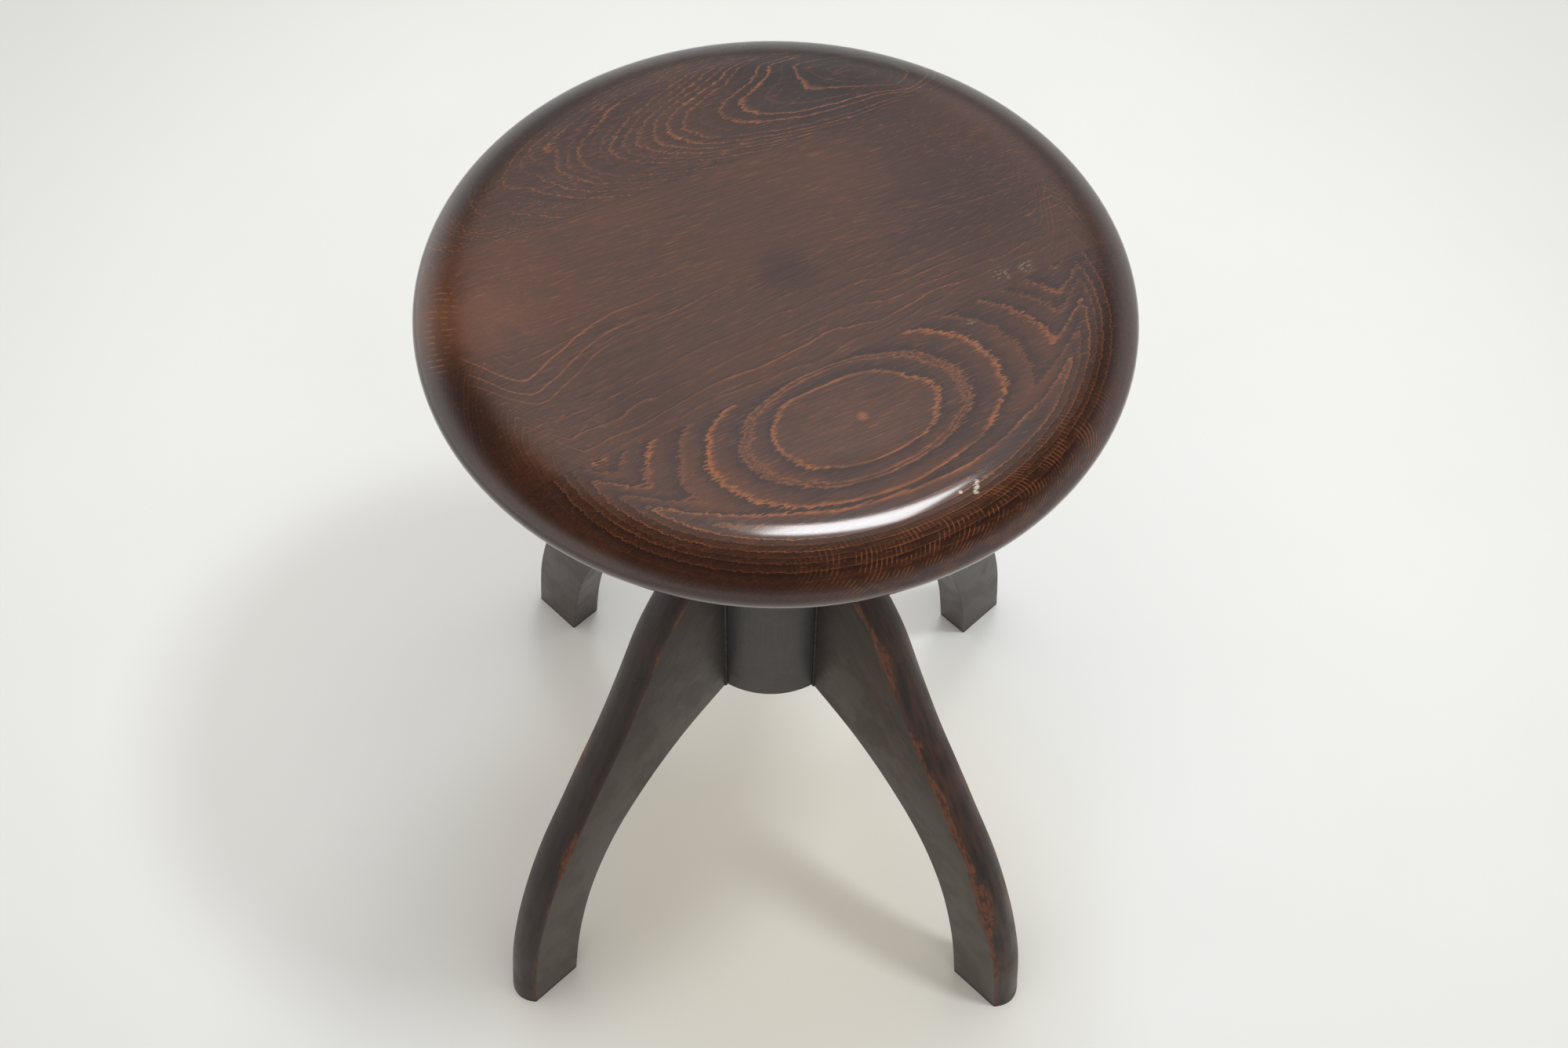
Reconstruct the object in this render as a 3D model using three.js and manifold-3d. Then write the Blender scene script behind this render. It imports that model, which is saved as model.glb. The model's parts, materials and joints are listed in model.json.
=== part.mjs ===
// Revolving piano stool. A dished wooden seat stands on a steel screw that runs in an iron nut in the
// top of a turned wooden hub, and four S-shaped legs are doweled to the hub. Turning the seat raises
// or lowers it. Millimetres, +Z up, origin on the floor under the screw, front towards -Y.

import * as THREE from 'three';
import { mergeVertices } from 'three/addons/utils/BufferGeometryUtils.js';
import Module from 'manifold-3d';

const wasm = await Module();
wasm.setup();

// Clearances: between pieces that rest on or in each other, and in the running screw thread.
const fitGap = 0.3;
const threadRadialGap = 0.7;
const threadAxialGap = 0.45;
const overrun = 5;               // how far every cutting tool reaches past what it cuts

// Seat
const seatDiameter = 350;
const seatThickness = 31;
const seatHeight = 489;          // crest of the rim above the floor, as the stool stands
const rimWidth = 32;             // from the crest of the rim out to the edge
const rimUnderWidth = 28;        // from the edge in to the flat underside
const dishDepth = 3;
const dishSlopeWidth = 38;       // from the crest of the rim in to the flat of the dish

// Hub
const hubDiameter = 93;
const hubHeight = 134;
const hubUnderside = 184;        // above the floor
const hubEdgeRound = 1.5;
const hubBoreDiameter = 44;

// Legs
const legThickness = 21;
const legCrown = 4.5;            // how far the rounded outer face stands proud of its two edges
const legInnerChamfer = 1;
const legTopDrop = 8;            // from the top of the hub down to the edges of the leg's top
const footReach = 206;           // from the axis to the outer edges of the foot, without its crown
const footDepth = 33;            // from those edges in to the inner face of the foot

// Dowels, two to a leg
const dowelDiameter = 10;
const dowelInHub = 18;
const dowelInLeg = 24;
const dowelChamfer = 1;
const dowelHeightShares = { lower: 0.25, upper: 0.76 };   // of the hub's height

// Screw spindle
const spindleDiameter = 28;
const threadPitch = 8;
const threadDepth = 3;
const threadRootShare = 0.34;    // flat of the root, as a share of the pitch
const threadFlankShare = 0.16;   // each flank
const riseTravel = 60;           // how far the seat rises from where it stands
const tailDiameter = 16;
const tailLength = 16;
const spindleChamfer = 1;

// Iron nut in the hub
const nutFlangeDiameter = 80;
const nutFlangeThickness = 5;
const nutBarrelLength = 40;
const nutEdgeRound = 1;
const nutScrewCircle = 62;
const nutScrewCount = 4;
const nutScrewLength = 25;

// Iron flange under the seat, with the boss that holds the spindle
const flangeDiameter = 130;
const flangeThickness = 6;
const flangeEdgeRound = 1.5;
const bossDiameter = 44;
const bossLength = 37;           // below the plate
const bossFillet = 8;
const flangeScrewCircle = 104;
const flangeScrewCount = 4;
const flangeScrewLength = 22;
const bossPinDiameter = 6;
const bossPinProud = 1;

// Countersunk wood screws, one size throughout
const screwHeadDiameter = 10;
const screwHeadHeight = 3;
const screwShankDiameter = 5;
const screwTipLength = 4;
const screwSlotWidth = 1.2;
const screwSlotDepth = 1;

// Stop washer on the tail, and the pin that keeps it there
const washerDiameter = 40;
const washerThickness = 4;
const tailPinDiameter = 4;
const tailPinLength = 26;
const tailPinHeadDiameter = 7;
const tailPinHeadLength = 2;

// How finely round shapes are faceted
const seatSegments = 72;
const hubSegments = 48;
const ironSegments = 32;
const smallSegments = 12;
const threadSegments = 16;
const rimSteps = 7;
const dishSteps = 6;
const roundSteps = 3;
const spareTurns = 2;            // of thread, made past each end and cut off square
const legStations = 24;

// Places worked out from the sizes
const seatRadius = seatDiameter / 2;
const hubRadius = hubDiameter / 2;
const hubTop = hubUnderside + hubHeight;
const seatUnderside = seatHeight - seatThickness;
const threadRootRadius = spindleDiameter / 2 - threadDepth;
const flangeTop = seatUnderside - fitGap;
const plateUnderside = flangeTop - flangeThickness;
const bossUnderside = plateUnderside - bossLength;
const nutFlangeUnderside = hubTop + fitGap;
const nutTop = nutFlangeUnderside + nutFlangeThickness;
const nutUnderside = hubTop - nutBarrelLength;
const washerTop = nutUnderside - fitGap - riseTravel;
const threadBottom = washerTop + fitGap;
const threadTop = bossUnderside - fitGap;
const tailPinHeight = washerTop - washerThickness - fitGap - tailPinHeadDiameter / 2;
const bossPinHeight = (plateUnderside + bossUnderside) / 2;

// Stained beech for the seat, ebonised beech for the rest of the wood, and the metals
const seatWood = new THREE.MeshStandardMaterial({ color: 0x4a2413, roughness: 0.3, metalness: 0 });
const frameWood = new THREE.MeshStandardMaterial({ color: 0x2b2423, roughness: 0.42, metalness: 0 });
const dowelWood = new THREE.MeshStandardMaterial({ color: 0xb98a58, roughness: 0.7, metalness: 0 });
const castIron = new THREE.MeshStandardMaterial({ color: 0x35363a, roughness: 0.6, metalness: 0.8 });
const steel = new THREE.MeshStandardMaterial({ color: 0x7d7c78, roughness: 0.38, metalness: 1 });

const stool = new THREE.Group();

// A closed geometry as a solid: shared vertices merged, and triangles that shrink to a line left out.
function solidOf(geometry) {
  geometry.deleteAttribute('normal');
  geometry.deleteAttribute('uv');
  const merged = mergeVertices(geometry);
  const corners = merged.index.array;
  const triangles = [];
  for (let i = 0; i < corners.length; i += 3) {
    const [a, b, c] = [corners[i], corners[i + 1], corners[i + 2]];
    if (a !== b && b !== c && c !== a) triangles.push(a, b, c);
  }
  return new wasm.Manifold(new wasm.Mesh({
    numProp: 3,
    vertProperties: new Float32Array(merged.attributes.position.array),
    triVerts: new Uint32Array(triangles),
  }));
}

function geometryOf(solid) {
  const mesh = solid.getMesh();
  const geometry = new THREE.BufferGeometry();
  geometry.setAttribute('position', new THREE.BufferAttribute(mesh.vertProperties, mesh.numProp));
  geometry.setIndex(new THREE.BufferAttribute(mesh.triVerts, 1));
  geometry.computeVertexNormals();
  return geometry;
}

function addPiece(name, solid, material, parent = stool) {
  const piece = new THREE.Mesh(geometryOf(solid), material);
  piece.name = name;
  parent.add(piece);
  return piece;
}

// A turned solid about Z. The outline runs [radius, height] from its lowest point up the outside.
function turned(outline, segments) {
  const points = outline.map(([radius, height]) => new THREE.Vector2(radius, height));
  return solidOf(new THREE.LatheGeometry(points, segments).rotateX(Math.PI / 2));
}

// A plain round bar along Z.
function bar(radius, bottom, top, segments) {
  return turned([[0, bottom], [radius, bottom], [radius, top], [0, top]], segments);
}

// A round bar with both ends chamfered.
function chamferedBar(radius, bottom, top, chamfer, segments) {
  return turned([
    [0, bottom], [radius - chamfer, bottom], [radius, bottom + chamfer],
    [radius, top - chamfer], [radius - chamfer, top], [0, top],
  ], segments);
}

// Points of a quarter round about a centre, from one angle to another.
function arcPoints(centre, radii, from, to, steps) {
  const points = [];
  for (let i = 0; i <= steps; i += 1) {
    const angle = from + (to - from) * i / steps;
    points.push([centre[0] + radii[0] * Math.cos(angle), centre[1] + radii[1] * Math.sin(angle)]);
  }
  return points;
}

// Rings of points, each with as many points as the next, joined into one closed skin.
function loft(rings) {
  const count = rings[0].length;
  const corners = rings.flat().flatMap((point) => point.toArray());
  const triangles = [];
  for (let i = 0; i + 1 < rings.length; i += 1) {
    for (let j = 0; j < count; j += 1) {
      const [a, b] = [i * count + j, i * count + (j + 1) % count];
      triangles.push(a, b, b + count, a, b + count, a + count);
    }
  }
  const last = (rings.length - 1) * count;
  for (let j = 1; j + 1 < count; j += 1) {
    triangles.push(0, j + 1, j, last, last + j, last + j + 1);
  }
  const geometry = new THREE.BufferGeometry();
  geometry.setAttribute('position', new THREE.Float32BufferAttribute(corners, 3));
  geometry.setIndex(triangles);
  return solidOf(geometry);
}

// The screw thread, right-handed, as a solid from one height to another. Its turns keep step with
// the height of the nut's underside, so the spindle's thread and the nut's are always in mesh.
function thread(bottom, top, radialGap, axialGap) {
  const rootRadius = threadRootRadius + radialGap;
  const outerRadius = spindleDiameter / 2 + radialGap;
  const section = [
    [rootRadius, axialGap],
    [rootRadius, threadPitch * threadRootShare - axialGap],
    [outerRadius, threadPitch * (threadRootShare + threadFlankShare) - axialGap],
    [outerRadius, threadPitch * (1 - threadFlankShare) + axialGap],
  ];
  const firstTurn = Math.floor((bottom - nutUnderside) / threadPitch) - spareTurns;
  const lastTurn = Math.ceil((top - nutUnderside) / threadPitch) + spareTurns;
  const steps = (lastTurn - firstTurn) * threadSegments;
  const start = nutUnderside + firstTurn * threadPitch;
  const corners = [];
  for (let i = 0; i <= steps; i += 1) {
    const angle = 2 * Math.PI * (i % threadSegments) / threadSegments;
    for (const [radius, offset] of section) {
      const height = start + threadPitch * i / threadSegments + offset;
      corners.push(radius * Math.cos(angle), radius * Math.sin(angle), height);
    }
  }
  const side = section.length;
  const crestEnd = side - 1;
  const at = (i, k) => i * side + k;
  const triangles = [];
  const quad = (a, b, c, d) => triangles.push(a, b, c, a, c, d);
  for (let i = 0; i < steps; i += 1) {
    for (let k = 0; k < crestEnd; k += 1) quad(at(i, k), at(i + 1, k), at(i + 1, k + 1), at(i, k + 1));
    if (i + 1 + threadSegments <= steps) {
      const above = i + threadSegments;
      quad(at(i, crestEnd), at(i + 1, crestEnd), at(above + 1, 0), at(above, 0));
    }
  }
  const low = [];
  for (let i = 0; i <= threadSegments; i += 1) low.push(at(i, 0));
  for (let k = crestEnd; k > 0; k -= 1) low.push(at(0, k));
  const high = [];
  for (let i = steps - threadSegments; i <= steps; i += 1) high.push(at(i, crestEnd));
  for (let k = crestEnd - 1; k >= 0; k -= 1) high.push(at(steps, k));
  const lowCentre = corners.length / 3;
  corners.push(0, 0, start);
  const highCentre = lowCentre + 1;
  corners.push(0, 0, start + (lastTurn - firstTurn + 1) * threadPitch);
  low.forEach((corner, i) => triangles.push(lowCentre, low[(i + 1) % low.length], corner));
  high.forEach((corner, i) => triangles.push(highCentre, corner, high[(i + 1) % high.length]));
  const geometry = new THREE.BufferGeometry();
  geometry.setAttribute('position', new THREE.Float32BufferAttribute(corners, 3));
  geometry.setIndex(triangles);
  return solidOf(geometry).intersect(bar(outerRadius + overrun, bottom, top, threadSegments));
}

// A countersunk wood screw, head up, with the middle of its head at the origin.
function woodScrew(length) {
  const headRadius = screwHeadDiameter / 2;
  const shankRadius = screwShankDiameter / 2;
  const screw = turned([
    [0, -length], [shankRadius, screwTipLength - length], [shankRadius, -screwHeadHeight],
    [headRadius, 0], [0, 0],
  ], smallSegments);
  const slot = new THREE.BoxGeometry(screwHeadDiameter + overrun, screwSlotWidth, 2 * screwSlotDepth);
  return screw.subtract(solidOf(slot));
}

// The hole for a wood screw whose head lies one fit gap below a face at the origin.
function screwHole(length) {
  const headRadius = screwHeadDiameter / 2 + fitGap;
  const shankRadius = screwShankDiameter / 2 + fitGap;
  const depth = length + 2 * fitGap;
  return turned([
    [0, -depth], [shankRadius, -depth], [shankRadius, -screwHeadHeight - fitGap],
    [headRadius, -fitGap], [headRadius, overrun], [0, overrun],
  ], smallSegments);
}

// Where the screws of a ring of screws stand.
function screwPlaces(circle, count) {
  return Array.from({ length: count }, (_, i) => {
    const angle = 2 * Math.PI * i / count;
    return [circle / 2 * Math.cos(angle), circle / 2 * Math.sin(angle)];
  });
}

// Seat: flat underside, rounded rim and a shallow dish, turned from one blank.
const crestRadius = seatRadius - rimWidth;
const rimMiddle = seatUnderside + seatThickness / 2;
const dishOutline = [];
for (let i = 1; i <= dishSteps; i += 1) {
  const fall = (1 - Math.cos(Math.PI * i / dishSteps)) / 2;
  dishOutline.push([crestRadius - dishSlopeWidth * i / dishSteps, seatHeight - dishDepth * fall]);
}
const underRound = arcPoints([seatRadius - rimUnderWidth, rimMiddle], [rimUnderWidth, seatThickness / 2],
  -Math.PI / 2, 0, rimSteps);
const overRound = arcPoints([crestRadius, rimMiddle], [rimWidth, seatThickness / 2],
  0, Math.PI / 2, rimSteps);
let seat = turned([
  [0, seatUnderside], ...underRound, ...overRound.slice(1), ...dishOutline,
  [0, seatHeight - dishDepth],
], seatSegments);
const flangeScrewPlaces = screwPlaces(flangeScrewCircle, flangeScrewCount);
const flangeScrewHoles = flangeScrewPlaces
  .map(([x, y]) => screwHole(flangeScrewLength).rotate([180, 0, 0]).translate([x, y, plateUnderside]));
for (const hole of flangeScrewHoles) seat = seat.subtract(hole);
addPiece('seat', seat, seatWood);

// Flange under the seat: a round plate with a boss, bored for the spindle and cross-drilled for its pin.
const flangeBore = threadRootRadius + fitGap;
const bossRadius = bossDiameter / 2;
let flange = turned([
  [flangeBore, bossUnderside], [bossRadius, bossUnderside],
  ...arcPoints([bossRadius + bossFillet, plateUnderside - bossFillet], [bossFillet, bossFillet],
    Math.PI, Math.PI / 2, roundSteps),
  ...arcPoints([flangeDiameter / 2 - flangeEdgeRound, plateUnderside + flangeEdgeRound],
    [flangeEdgeRound, flangeEdgeRound], -Math.PI / 2, 0, roundSteps),
  [flangeDiameter / 2, flangeTop], [flangeBore, flangeTop], [flangeBore, bossUnderside],
], ironSegments);
const bossPinHole = bar(bossPinDiameter / 2 + fitGap, -bossDiameter, bossDiameter, smallSegments)
  .rotate([0, 90, 0]).translate([0, 0, bossPinHeight]);
flange = flange.subtract(bossPinHole);
for (const hole of flangeScrewHoles) flange = flange.subtract(hole);
addPiece('seat_flange', flange, castIron);

flangeScrewPlaces.forEach(([x, y], i) => {
  const screw = addPiece(`flange_screw_${i + 1}`, woodScrew(flangeScrewLength), steel);
  screw.rotation.x = Math.PI;
  screw.position.set(x, y, plateUnderside + fitGap);
});

const bossPinHalf = bossRadius + bossPinProud;
const bossPin = addPiece('boss_pin',
  chamferedBar(bossPinDiameter / 2, -bossPinHalf, bossPinHalf, bossPinProud, smallSegments), steel);
bossPin.rotation.y = Math.PI / 2;
bossPin.position.z = bossPinHeight;

// Spindle: a plain shank in the boss, the long thread, and a thin tail for the washer and its pin.
const tailBottom = threadBottom - tailLength;
const tailPinHole = bar(tailPinDiameter / 2 + fitGap, -tailPinLength, tailPinLength, smallSegments)
  .rotate([90, 0, 0]).translate([0, 0, tailPinHeight]);
const spindle = thread(threadBottom, threadTop, 0, 0)
  .add(bar(threadRootRadius, threadTop - threadPitch, flangeTop - fitGap, threadSegments))
  .add(chamferedBar(tailDiameter / 2, tailBottom, threadBottom + threadPitch, spindleChamfer,
    threadSegments))
  .subtract(bossPinHole)
  .subtract(tailPinHole);
addPiece('spindle', spindle, steel);

// Stop washer, loose on the tail between the end of the thread and the pin.
const washerBore = tailDiameter / 2 + fitGap;
addPiece('stop_washer', turned([
  [washerBore, washerTop - washerThickness], [washerDiameter / 2, washerTop - washerThickness],
  [washerDiameter / 2, washerTop], [washerBore, washerTop], [washerBore, washerTop - washerThickness],
], ironSegments), steel);

const tailPinHalf = tailPinLength / 2;
const tailPin = addPiece('tail_pin', turned([
  [0, -tailPinHalf], [tailPinDiameter / 2, -tailPinHalf], [tailPinDiameter / 2, tailPinHalf],
  [tailPinHeadDiameter / 2, tailPinHalf], [tailPinHeadDiameter / 2, tailPinHalf + tailPinHeadLength],
  [0, tailPinHalf + tailPinHeadLength],
], smallSegments), steel);
tailPin.rotation.x = Math.PI / 2;
tailPin.position.z = tailPinHeight;

// Nut: a flange on top of the hub and a threaded barrel down its bore.
const nutBarrelRadius = hubBoreDiameter / 2 - fitGap;
let nut = turned([
  [0, nutUnderside], [nutBarrelRadius, nutUnderside], [nutBarrelRadius, nutFlangeUnderside],
  [nutFlangeDiameter / 2, nutFlangeUnderside],
  ...arcPoints([nutFlangeDiameter / 2 - nutEdgeRound, nutTop - nutEdgeRound],
    [nutEdgeRound, nutEdgeRound], 0, Math.PI / 2, roundSteps),
  [0, nutTop],
], ironSegments);
nut = nut.subtract(thread(nutUnderside - overrun, nutTop + overrun, threadRadialGap, threadAxialGap));
const nutScrewPlaces = screwPlaces(nutScrewCircle, nutScrewCount);
const nutScrewHoles = nutScrewPlaces.map(([x, y]) => screwHole(nutScrewLength).translate([x, y, nutTop]));
for (const hole of nutScrewHoles) nut = nut.subtract(hole);
addPiece('nut', nut, castIron);

nutScrewPlaces.forEach(([x, y], i) => {
  const screw = addPiece(`nut_screw_${i + 1}`, woodScrew(nutScrewLength), steel);
  screw.position.set(x, y, nutTop - fitGap);
});

// The legs stand on the diagonals. Each has its own turned group.
const legAngles = {
  leg_front_right: -Math.PI / 4,
  leg_back_right: Math.PI / 4,
  leg_back_left: 3 * Math.PI / 4,
  leg_front_left: -3 * Math.PI / 4,
};
const dowelPlaces = Object.entries(dowelHeightShares)
  .map(([level, share]) => [level, hubUnderside + share * hubHeight]);

// The hole for one dowel, along X from inside the hub to inside the leg.
function dowelHole(height) {
  return bar(dowelDiameter / 2 + fitGap, hubRadius - dowelInHub - fitGap,
    hubRadius + dowelInLeg + fitGap, smallSegments).rotate([0, 90, 0]).translate([0, 0, height]);
}

// Hub: a turned cylinder with eased edges, bored through and drilled for the dowels and nut screws.
let hub = turned([
  [0, hubUnderside],
  ...arcPoints([hubRadius - hubEdgeRound, hubUnderside + hubEdgeRound], [hubEdgeRound, hubEdgeRound],
    -Math.PI / 2, 0, roundSteps),
  ...arcPoints([hubRadius - hubEdgeRound, hubTop - hubEdgeRound], [hubEdgeRound, hubEdgeRound],
    0, Math.PI / 2, roundSteps),
  [0, hubTop],
], hubSegments);
hub = hub.subtract(bar(hubBoreDiameter / 2, hubUnderside - overrun, hubTop + overrun, ironSegments));
for (const angle of Object.values(legAngles)) {
  for (const [, height] of dowelPlaces) {
    hub = hub.subtract(dowelHole(height).rotate([0, 0, THREE.MathUtils.radToDeg(angle)]));
  }
}
for (const hole of nutScrewHoles) hub = hub.subtract(hole);
addPiece('hub', hub, frameWood);

// The side view of a leg, as radius and height. The outer edge falls from the shoulder in an S, and
// the inner edge runs from the hub's underside to the foot. Shares are of the way from the hub out to
// the foot, and of the height of the edge's upper end.
const outerEdgeShares = [
  [0.000, 1.000], [0.084, 0.990], [0.160, 0.963], [0.273, 0.890], [0.367, 0.794], [0.473, 0.690],
  [0.586, 0.597], [0.681, 0.516], [0.777, 0.435], [0.855, 0.348], [0.926, 0.242], [0.975, 0.129],
  [1.000, 0.000],
];
const innerEdgeShares = [
  [0.000, 1.000], [0.265, 0.913], [0.502, 0.793], [0.700, 0.647], [0.852, 0.457], [0.950, 0.228],
  [1.000, 0.000],
];
const legTop = hubTop - legTopDrop;
const footInner = footReach - footDepth;

function legEdge(shares, reach, top) {
  return new THREE.SplineCurve(shares.map(([outShare, upShare]) => new THREE.Vector2(
    hubRadius + outShare * (reach - hubRadius), upShare * top)));
}

// Stations along an edge: a place and the direction square to the edge, away from the leg. One more
// station at each end runs on into the hub and into the floor, and is cut off later.
function edgeStations(curve, side) {
  const stations = [];
  for (let i = 0; i <= legStations; i += 1) {
    const along = curve.getTangentAt(i / legStations);
    const place = curve.getPointAt(i / legStations);
    stations.push({ place, away: new THREE.Vector2(-along.y, along.x).multiplyScalar(side) });
  }
  const first = stations[0];
  const last = stations[legStations];
  const inHub = first.place.clone().sub(new THREE.Vector2(hubRadius / 2, 0));
  const inFloor = last.place.clone().sub(new THREE.Vector2(0, overrun + legCrown));
  stations.unshift({ place: inHub, away: first.away });
  stations.push({ place: inFloor, away: last.away });
  return stations;
}

// One cross-section of a leg: a rounded outer face, flat sides and a chamfered inner face.
const crownShares = [-0.8, -0.45, 0, 0.45, 0.8];      // across the thickness
function legSection(outer, inner) {
  const half = legThickness / 2;
  const onOuter = (across) => {
    const crown = legCrown * (1 - (across / half) ** 2);
    return new THREE.Vector3(outer.place.x + outer.away.x * crown, across,
      outer.place.y + outer.away.y * crown);
  };
  const onInner = (across, back) => new THREE.Vector3(inner.place.x - inner.away.x * back, across,
    inner.place.y - inner.away.y * back);
  return [
    onInner(half - legInnerChamfer, 0), onInner(half, legInnerChamfer), onOuter(half),
    ...crownShares.map((share) => onOuter(-share * half)), onOuter(-half),
    onInner(-half, legInnerChamfer), onInner(legInnerChamfer - half, 0),
  ];
}

const outerStations = edgeStations(legEdge(outerEdgeShares, footReach, legTop), 1);
const innerStations = edgeStations(legEdge(innerEdgeShares, footInner, hubUnderside), -1);
const hubClearance = bar(hubRadius + fitGap, 0, hubTop + overrun, hubSegments);
const floorBlockWidth = 2 * (footReach + legCrown + overrun);
const floorBlockDepth = 2 * (legCrown + overrun);
const floorBlock = new THREE.BoxGeometry(floorBlockWidth, floorBlockWidth, floorBlockDepth)
  .translate(0, 0, -floorBlockDepth / 2);
let leg = loft(outerStations.map((station, i) => legSection(station, innerStations[i])));
leg = leg.subtract(hubClearance).subtract(solidOf(floorBlock));
for (const [, height] of dowelPlaces) leg = leg.subtract(dowelHole(height));

for (const [name, angle] of Object.entries(legAngles)) {
  const side = new THREE.Group();
  side.rotation.z = angle;
  stool.add(side);
  addPiece(name, leg, frameWood, side);
  for (const [level, height] of dowelPlaces) {
    const dowel = addPiece(`${name}_dowel_${level}`, chamferedBar(dowelDiameter / 2,
      hubRadius - dowelInHub, hubRadius + dowelInLeg, dowelChamfer, smallSegments), dowelWood, side);
    dowel.rotation.y = Math.PI / 2;
    dowel.position.z = height;
  }
}

export default stool;
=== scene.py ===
# %% [markdown]
# # Revolving piano stool
# The CAD part gives every piece its place and size. This notebook gives the pieces their finish: a
# lacquered seat turned from glued beech boards, an ebonised hub and four S-shaped legs, and the screw,
# nut and flange that let the seat turn and rise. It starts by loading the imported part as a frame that
# doesn't move.

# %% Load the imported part
import json
import math

import bpy
from mathutils import Matrix, Vector

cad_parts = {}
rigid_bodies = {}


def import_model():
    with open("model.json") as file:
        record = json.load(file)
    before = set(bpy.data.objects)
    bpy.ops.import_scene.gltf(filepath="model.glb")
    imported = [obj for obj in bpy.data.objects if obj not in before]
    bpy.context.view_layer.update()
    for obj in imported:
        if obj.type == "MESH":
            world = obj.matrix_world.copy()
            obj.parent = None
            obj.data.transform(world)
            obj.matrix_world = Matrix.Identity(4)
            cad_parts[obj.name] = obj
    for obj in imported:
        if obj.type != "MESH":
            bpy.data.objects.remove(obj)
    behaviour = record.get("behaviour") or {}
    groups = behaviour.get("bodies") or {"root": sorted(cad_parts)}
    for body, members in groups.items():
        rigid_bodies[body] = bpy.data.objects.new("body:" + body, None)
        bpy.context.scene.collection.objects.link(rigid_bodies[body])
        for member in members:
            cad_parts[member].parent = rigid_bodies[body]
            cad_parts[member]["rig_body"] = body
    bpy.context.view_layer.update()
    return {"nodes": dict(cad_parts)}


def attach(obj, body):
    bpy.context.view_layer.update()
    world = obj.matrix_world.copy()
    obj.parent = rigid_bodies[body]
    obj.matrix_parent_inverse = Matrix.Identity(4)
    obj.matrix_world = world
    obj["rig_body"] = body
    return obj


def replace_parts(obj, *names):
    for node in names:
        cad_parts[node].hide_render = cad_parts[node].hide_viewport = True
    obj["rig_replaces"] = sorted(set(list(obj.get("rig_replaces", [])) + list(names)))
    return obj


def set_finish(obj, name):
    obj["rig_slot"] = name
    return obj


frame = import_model()
MM = 0.001

# %% [markdown]
# ## Camera
# The photograph looks down on the stool from 55 degrees above the floor, from the front, with a lens a
# little longer than normal. The camera stands where that picture was taken, with its slight tilt.

# %% Place the camera
camera_place = Vector((-6.1, -774.7, 1388.4)) * MM
camera_right = Vector((0.99988, 0.00474, 0.01474))
camera_up = Vector((-0.01236, 0.81792, 0.57520))
camera_data = bpy.data.cameras.new("camera")
camera_data.sensor_width = 36.0
camera_data.lens = 56.74
camera = bpy.data.objects.new("camera", camera_data)
bpy.context.scene.collection.objects.link(camera)
camera_back = camera_right.cross(camera_up)
turn = Matrix((camera_right, camera_up, camera_back)).transposed()
camera.matrix_world = Matrix.Translation(camera_place) @ turn.to_4x4()
bpy.context.scene.camera = camera
bpy.context.scene.view_settings.view_transform = "Standard"
print("camera height:", round(camera.location.z, 3))

# %% [markdown]
# ## Node helpers
# Every material below is a small network of nodes. A few helpers keep the cells short. They add a node,
# do sums, mix colours, measure places on the piece, and make a node group, which is an effect that
# several materials share.

# %% Define the node helpers
def feed(tree, socket, value):
    """Gives a socket a plain value, or links it to the socket that feeds it."""
    if isinstance(value, bpy.types.NodeSocket):
        tree.links.new(value, socket)
    else:
        socket.default_value = value


def add_node(tree, kind, inputs=None, **settings):
    """A node with its settings and inputs."""
    node = tree.nodes.new(kind)
    for name, value in settings.items():
        setattr(node, name, value)
    for name, value in (inputs or {}).items():
        feed(tree, node.inputs[name], value)
    return node


def calculate(tree, operation, *values, clamp=False):
    """A Math node, by the place of its inputs."""
    node = add_node(tree, "ShaderNodeMath", operation=operation, use_clamp=clamp)
    for socket, value in zip(node.inputs, values):
        feed(tree, socket, value)
    return node.outputs[0]


def add(tree, first, second):
    """The sum of two values."""
    return calculate(tree, "ADD", first, second)


def subtract(tree, first, second):
    """The first value less the second."""
    return calculate(tree, "SUBTRACT", first, second)


def multiply(tree, first, second, clamp=False):
    """The product of two values."""
    return calculate(tree, "MULTIPLY", first, second, clamp=clamp)


def ease(tree, value, low, high, start=0.0, end=1.0):
    """A value eased from start to end while the input goes from low to high."""
    limits = {"From Min": low, "From Max": high, "To Min": start, "To Max": end}
    node = add_node(tree, "ShaderNodeMapRange", {"Value": value, **limits}, interpolation_type="SMOOTHSTEP")
    return node.outputs["Result"]


def mix_colours(tree, share, first, second, blend="MIX"):
    """A colour mixed from two others."""
    node = add_node(tree, "ShaderNodeMix", data_type="RGBA", blend_type=blend)
    for name, value in (("Factor", share), ("A", first), ("B", second)):
        feed(tree, next(s for s in node.inputs if s.name == name and s.enabled), value)
    return next(s for s in node.outputs if s.enabled)


def make_group(name, inputs, outputs):
    """An empty node group with named sockets. Returns the group and its two end nodes."""
    group = bpy.data.node_groups.new(name, "ShaderNodeTree")
    for kind, socket_name, value in inputs:
        socket = group.interface.new_socket(socket_name, in_out="INPUT", socket_type=kind)
        if value is not None:
            socket.default_value = value
    for kind, socket_name in outputs:
        group.interface.new_socket(socket_name, in_out="OUTPUT", socket_type=kind)
    start = group.nodes.new("NodeGroupInput")
    end = group.nodes.new("NodeGroupOutput")
    return group, start.outputs, end.inputs


def use_group(tree, group, inputs):
    """The outputs of a node that places a group in a material."""
    return add_node(tree, "ShaderNodeGroup", inputs, node_tree=group).outputs


def new_material(name, viewport_colour):
    """A material with one Principled shader. Returns the material, its tree and the shader."""
    material = bpy.data.materials.new(name)
    material.use_nodes = True
    material.diffuse_color = viewport_colour
    tree = material.node_tree
    return material, tree, tree.nodes["Principled BSDF"]


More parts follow.
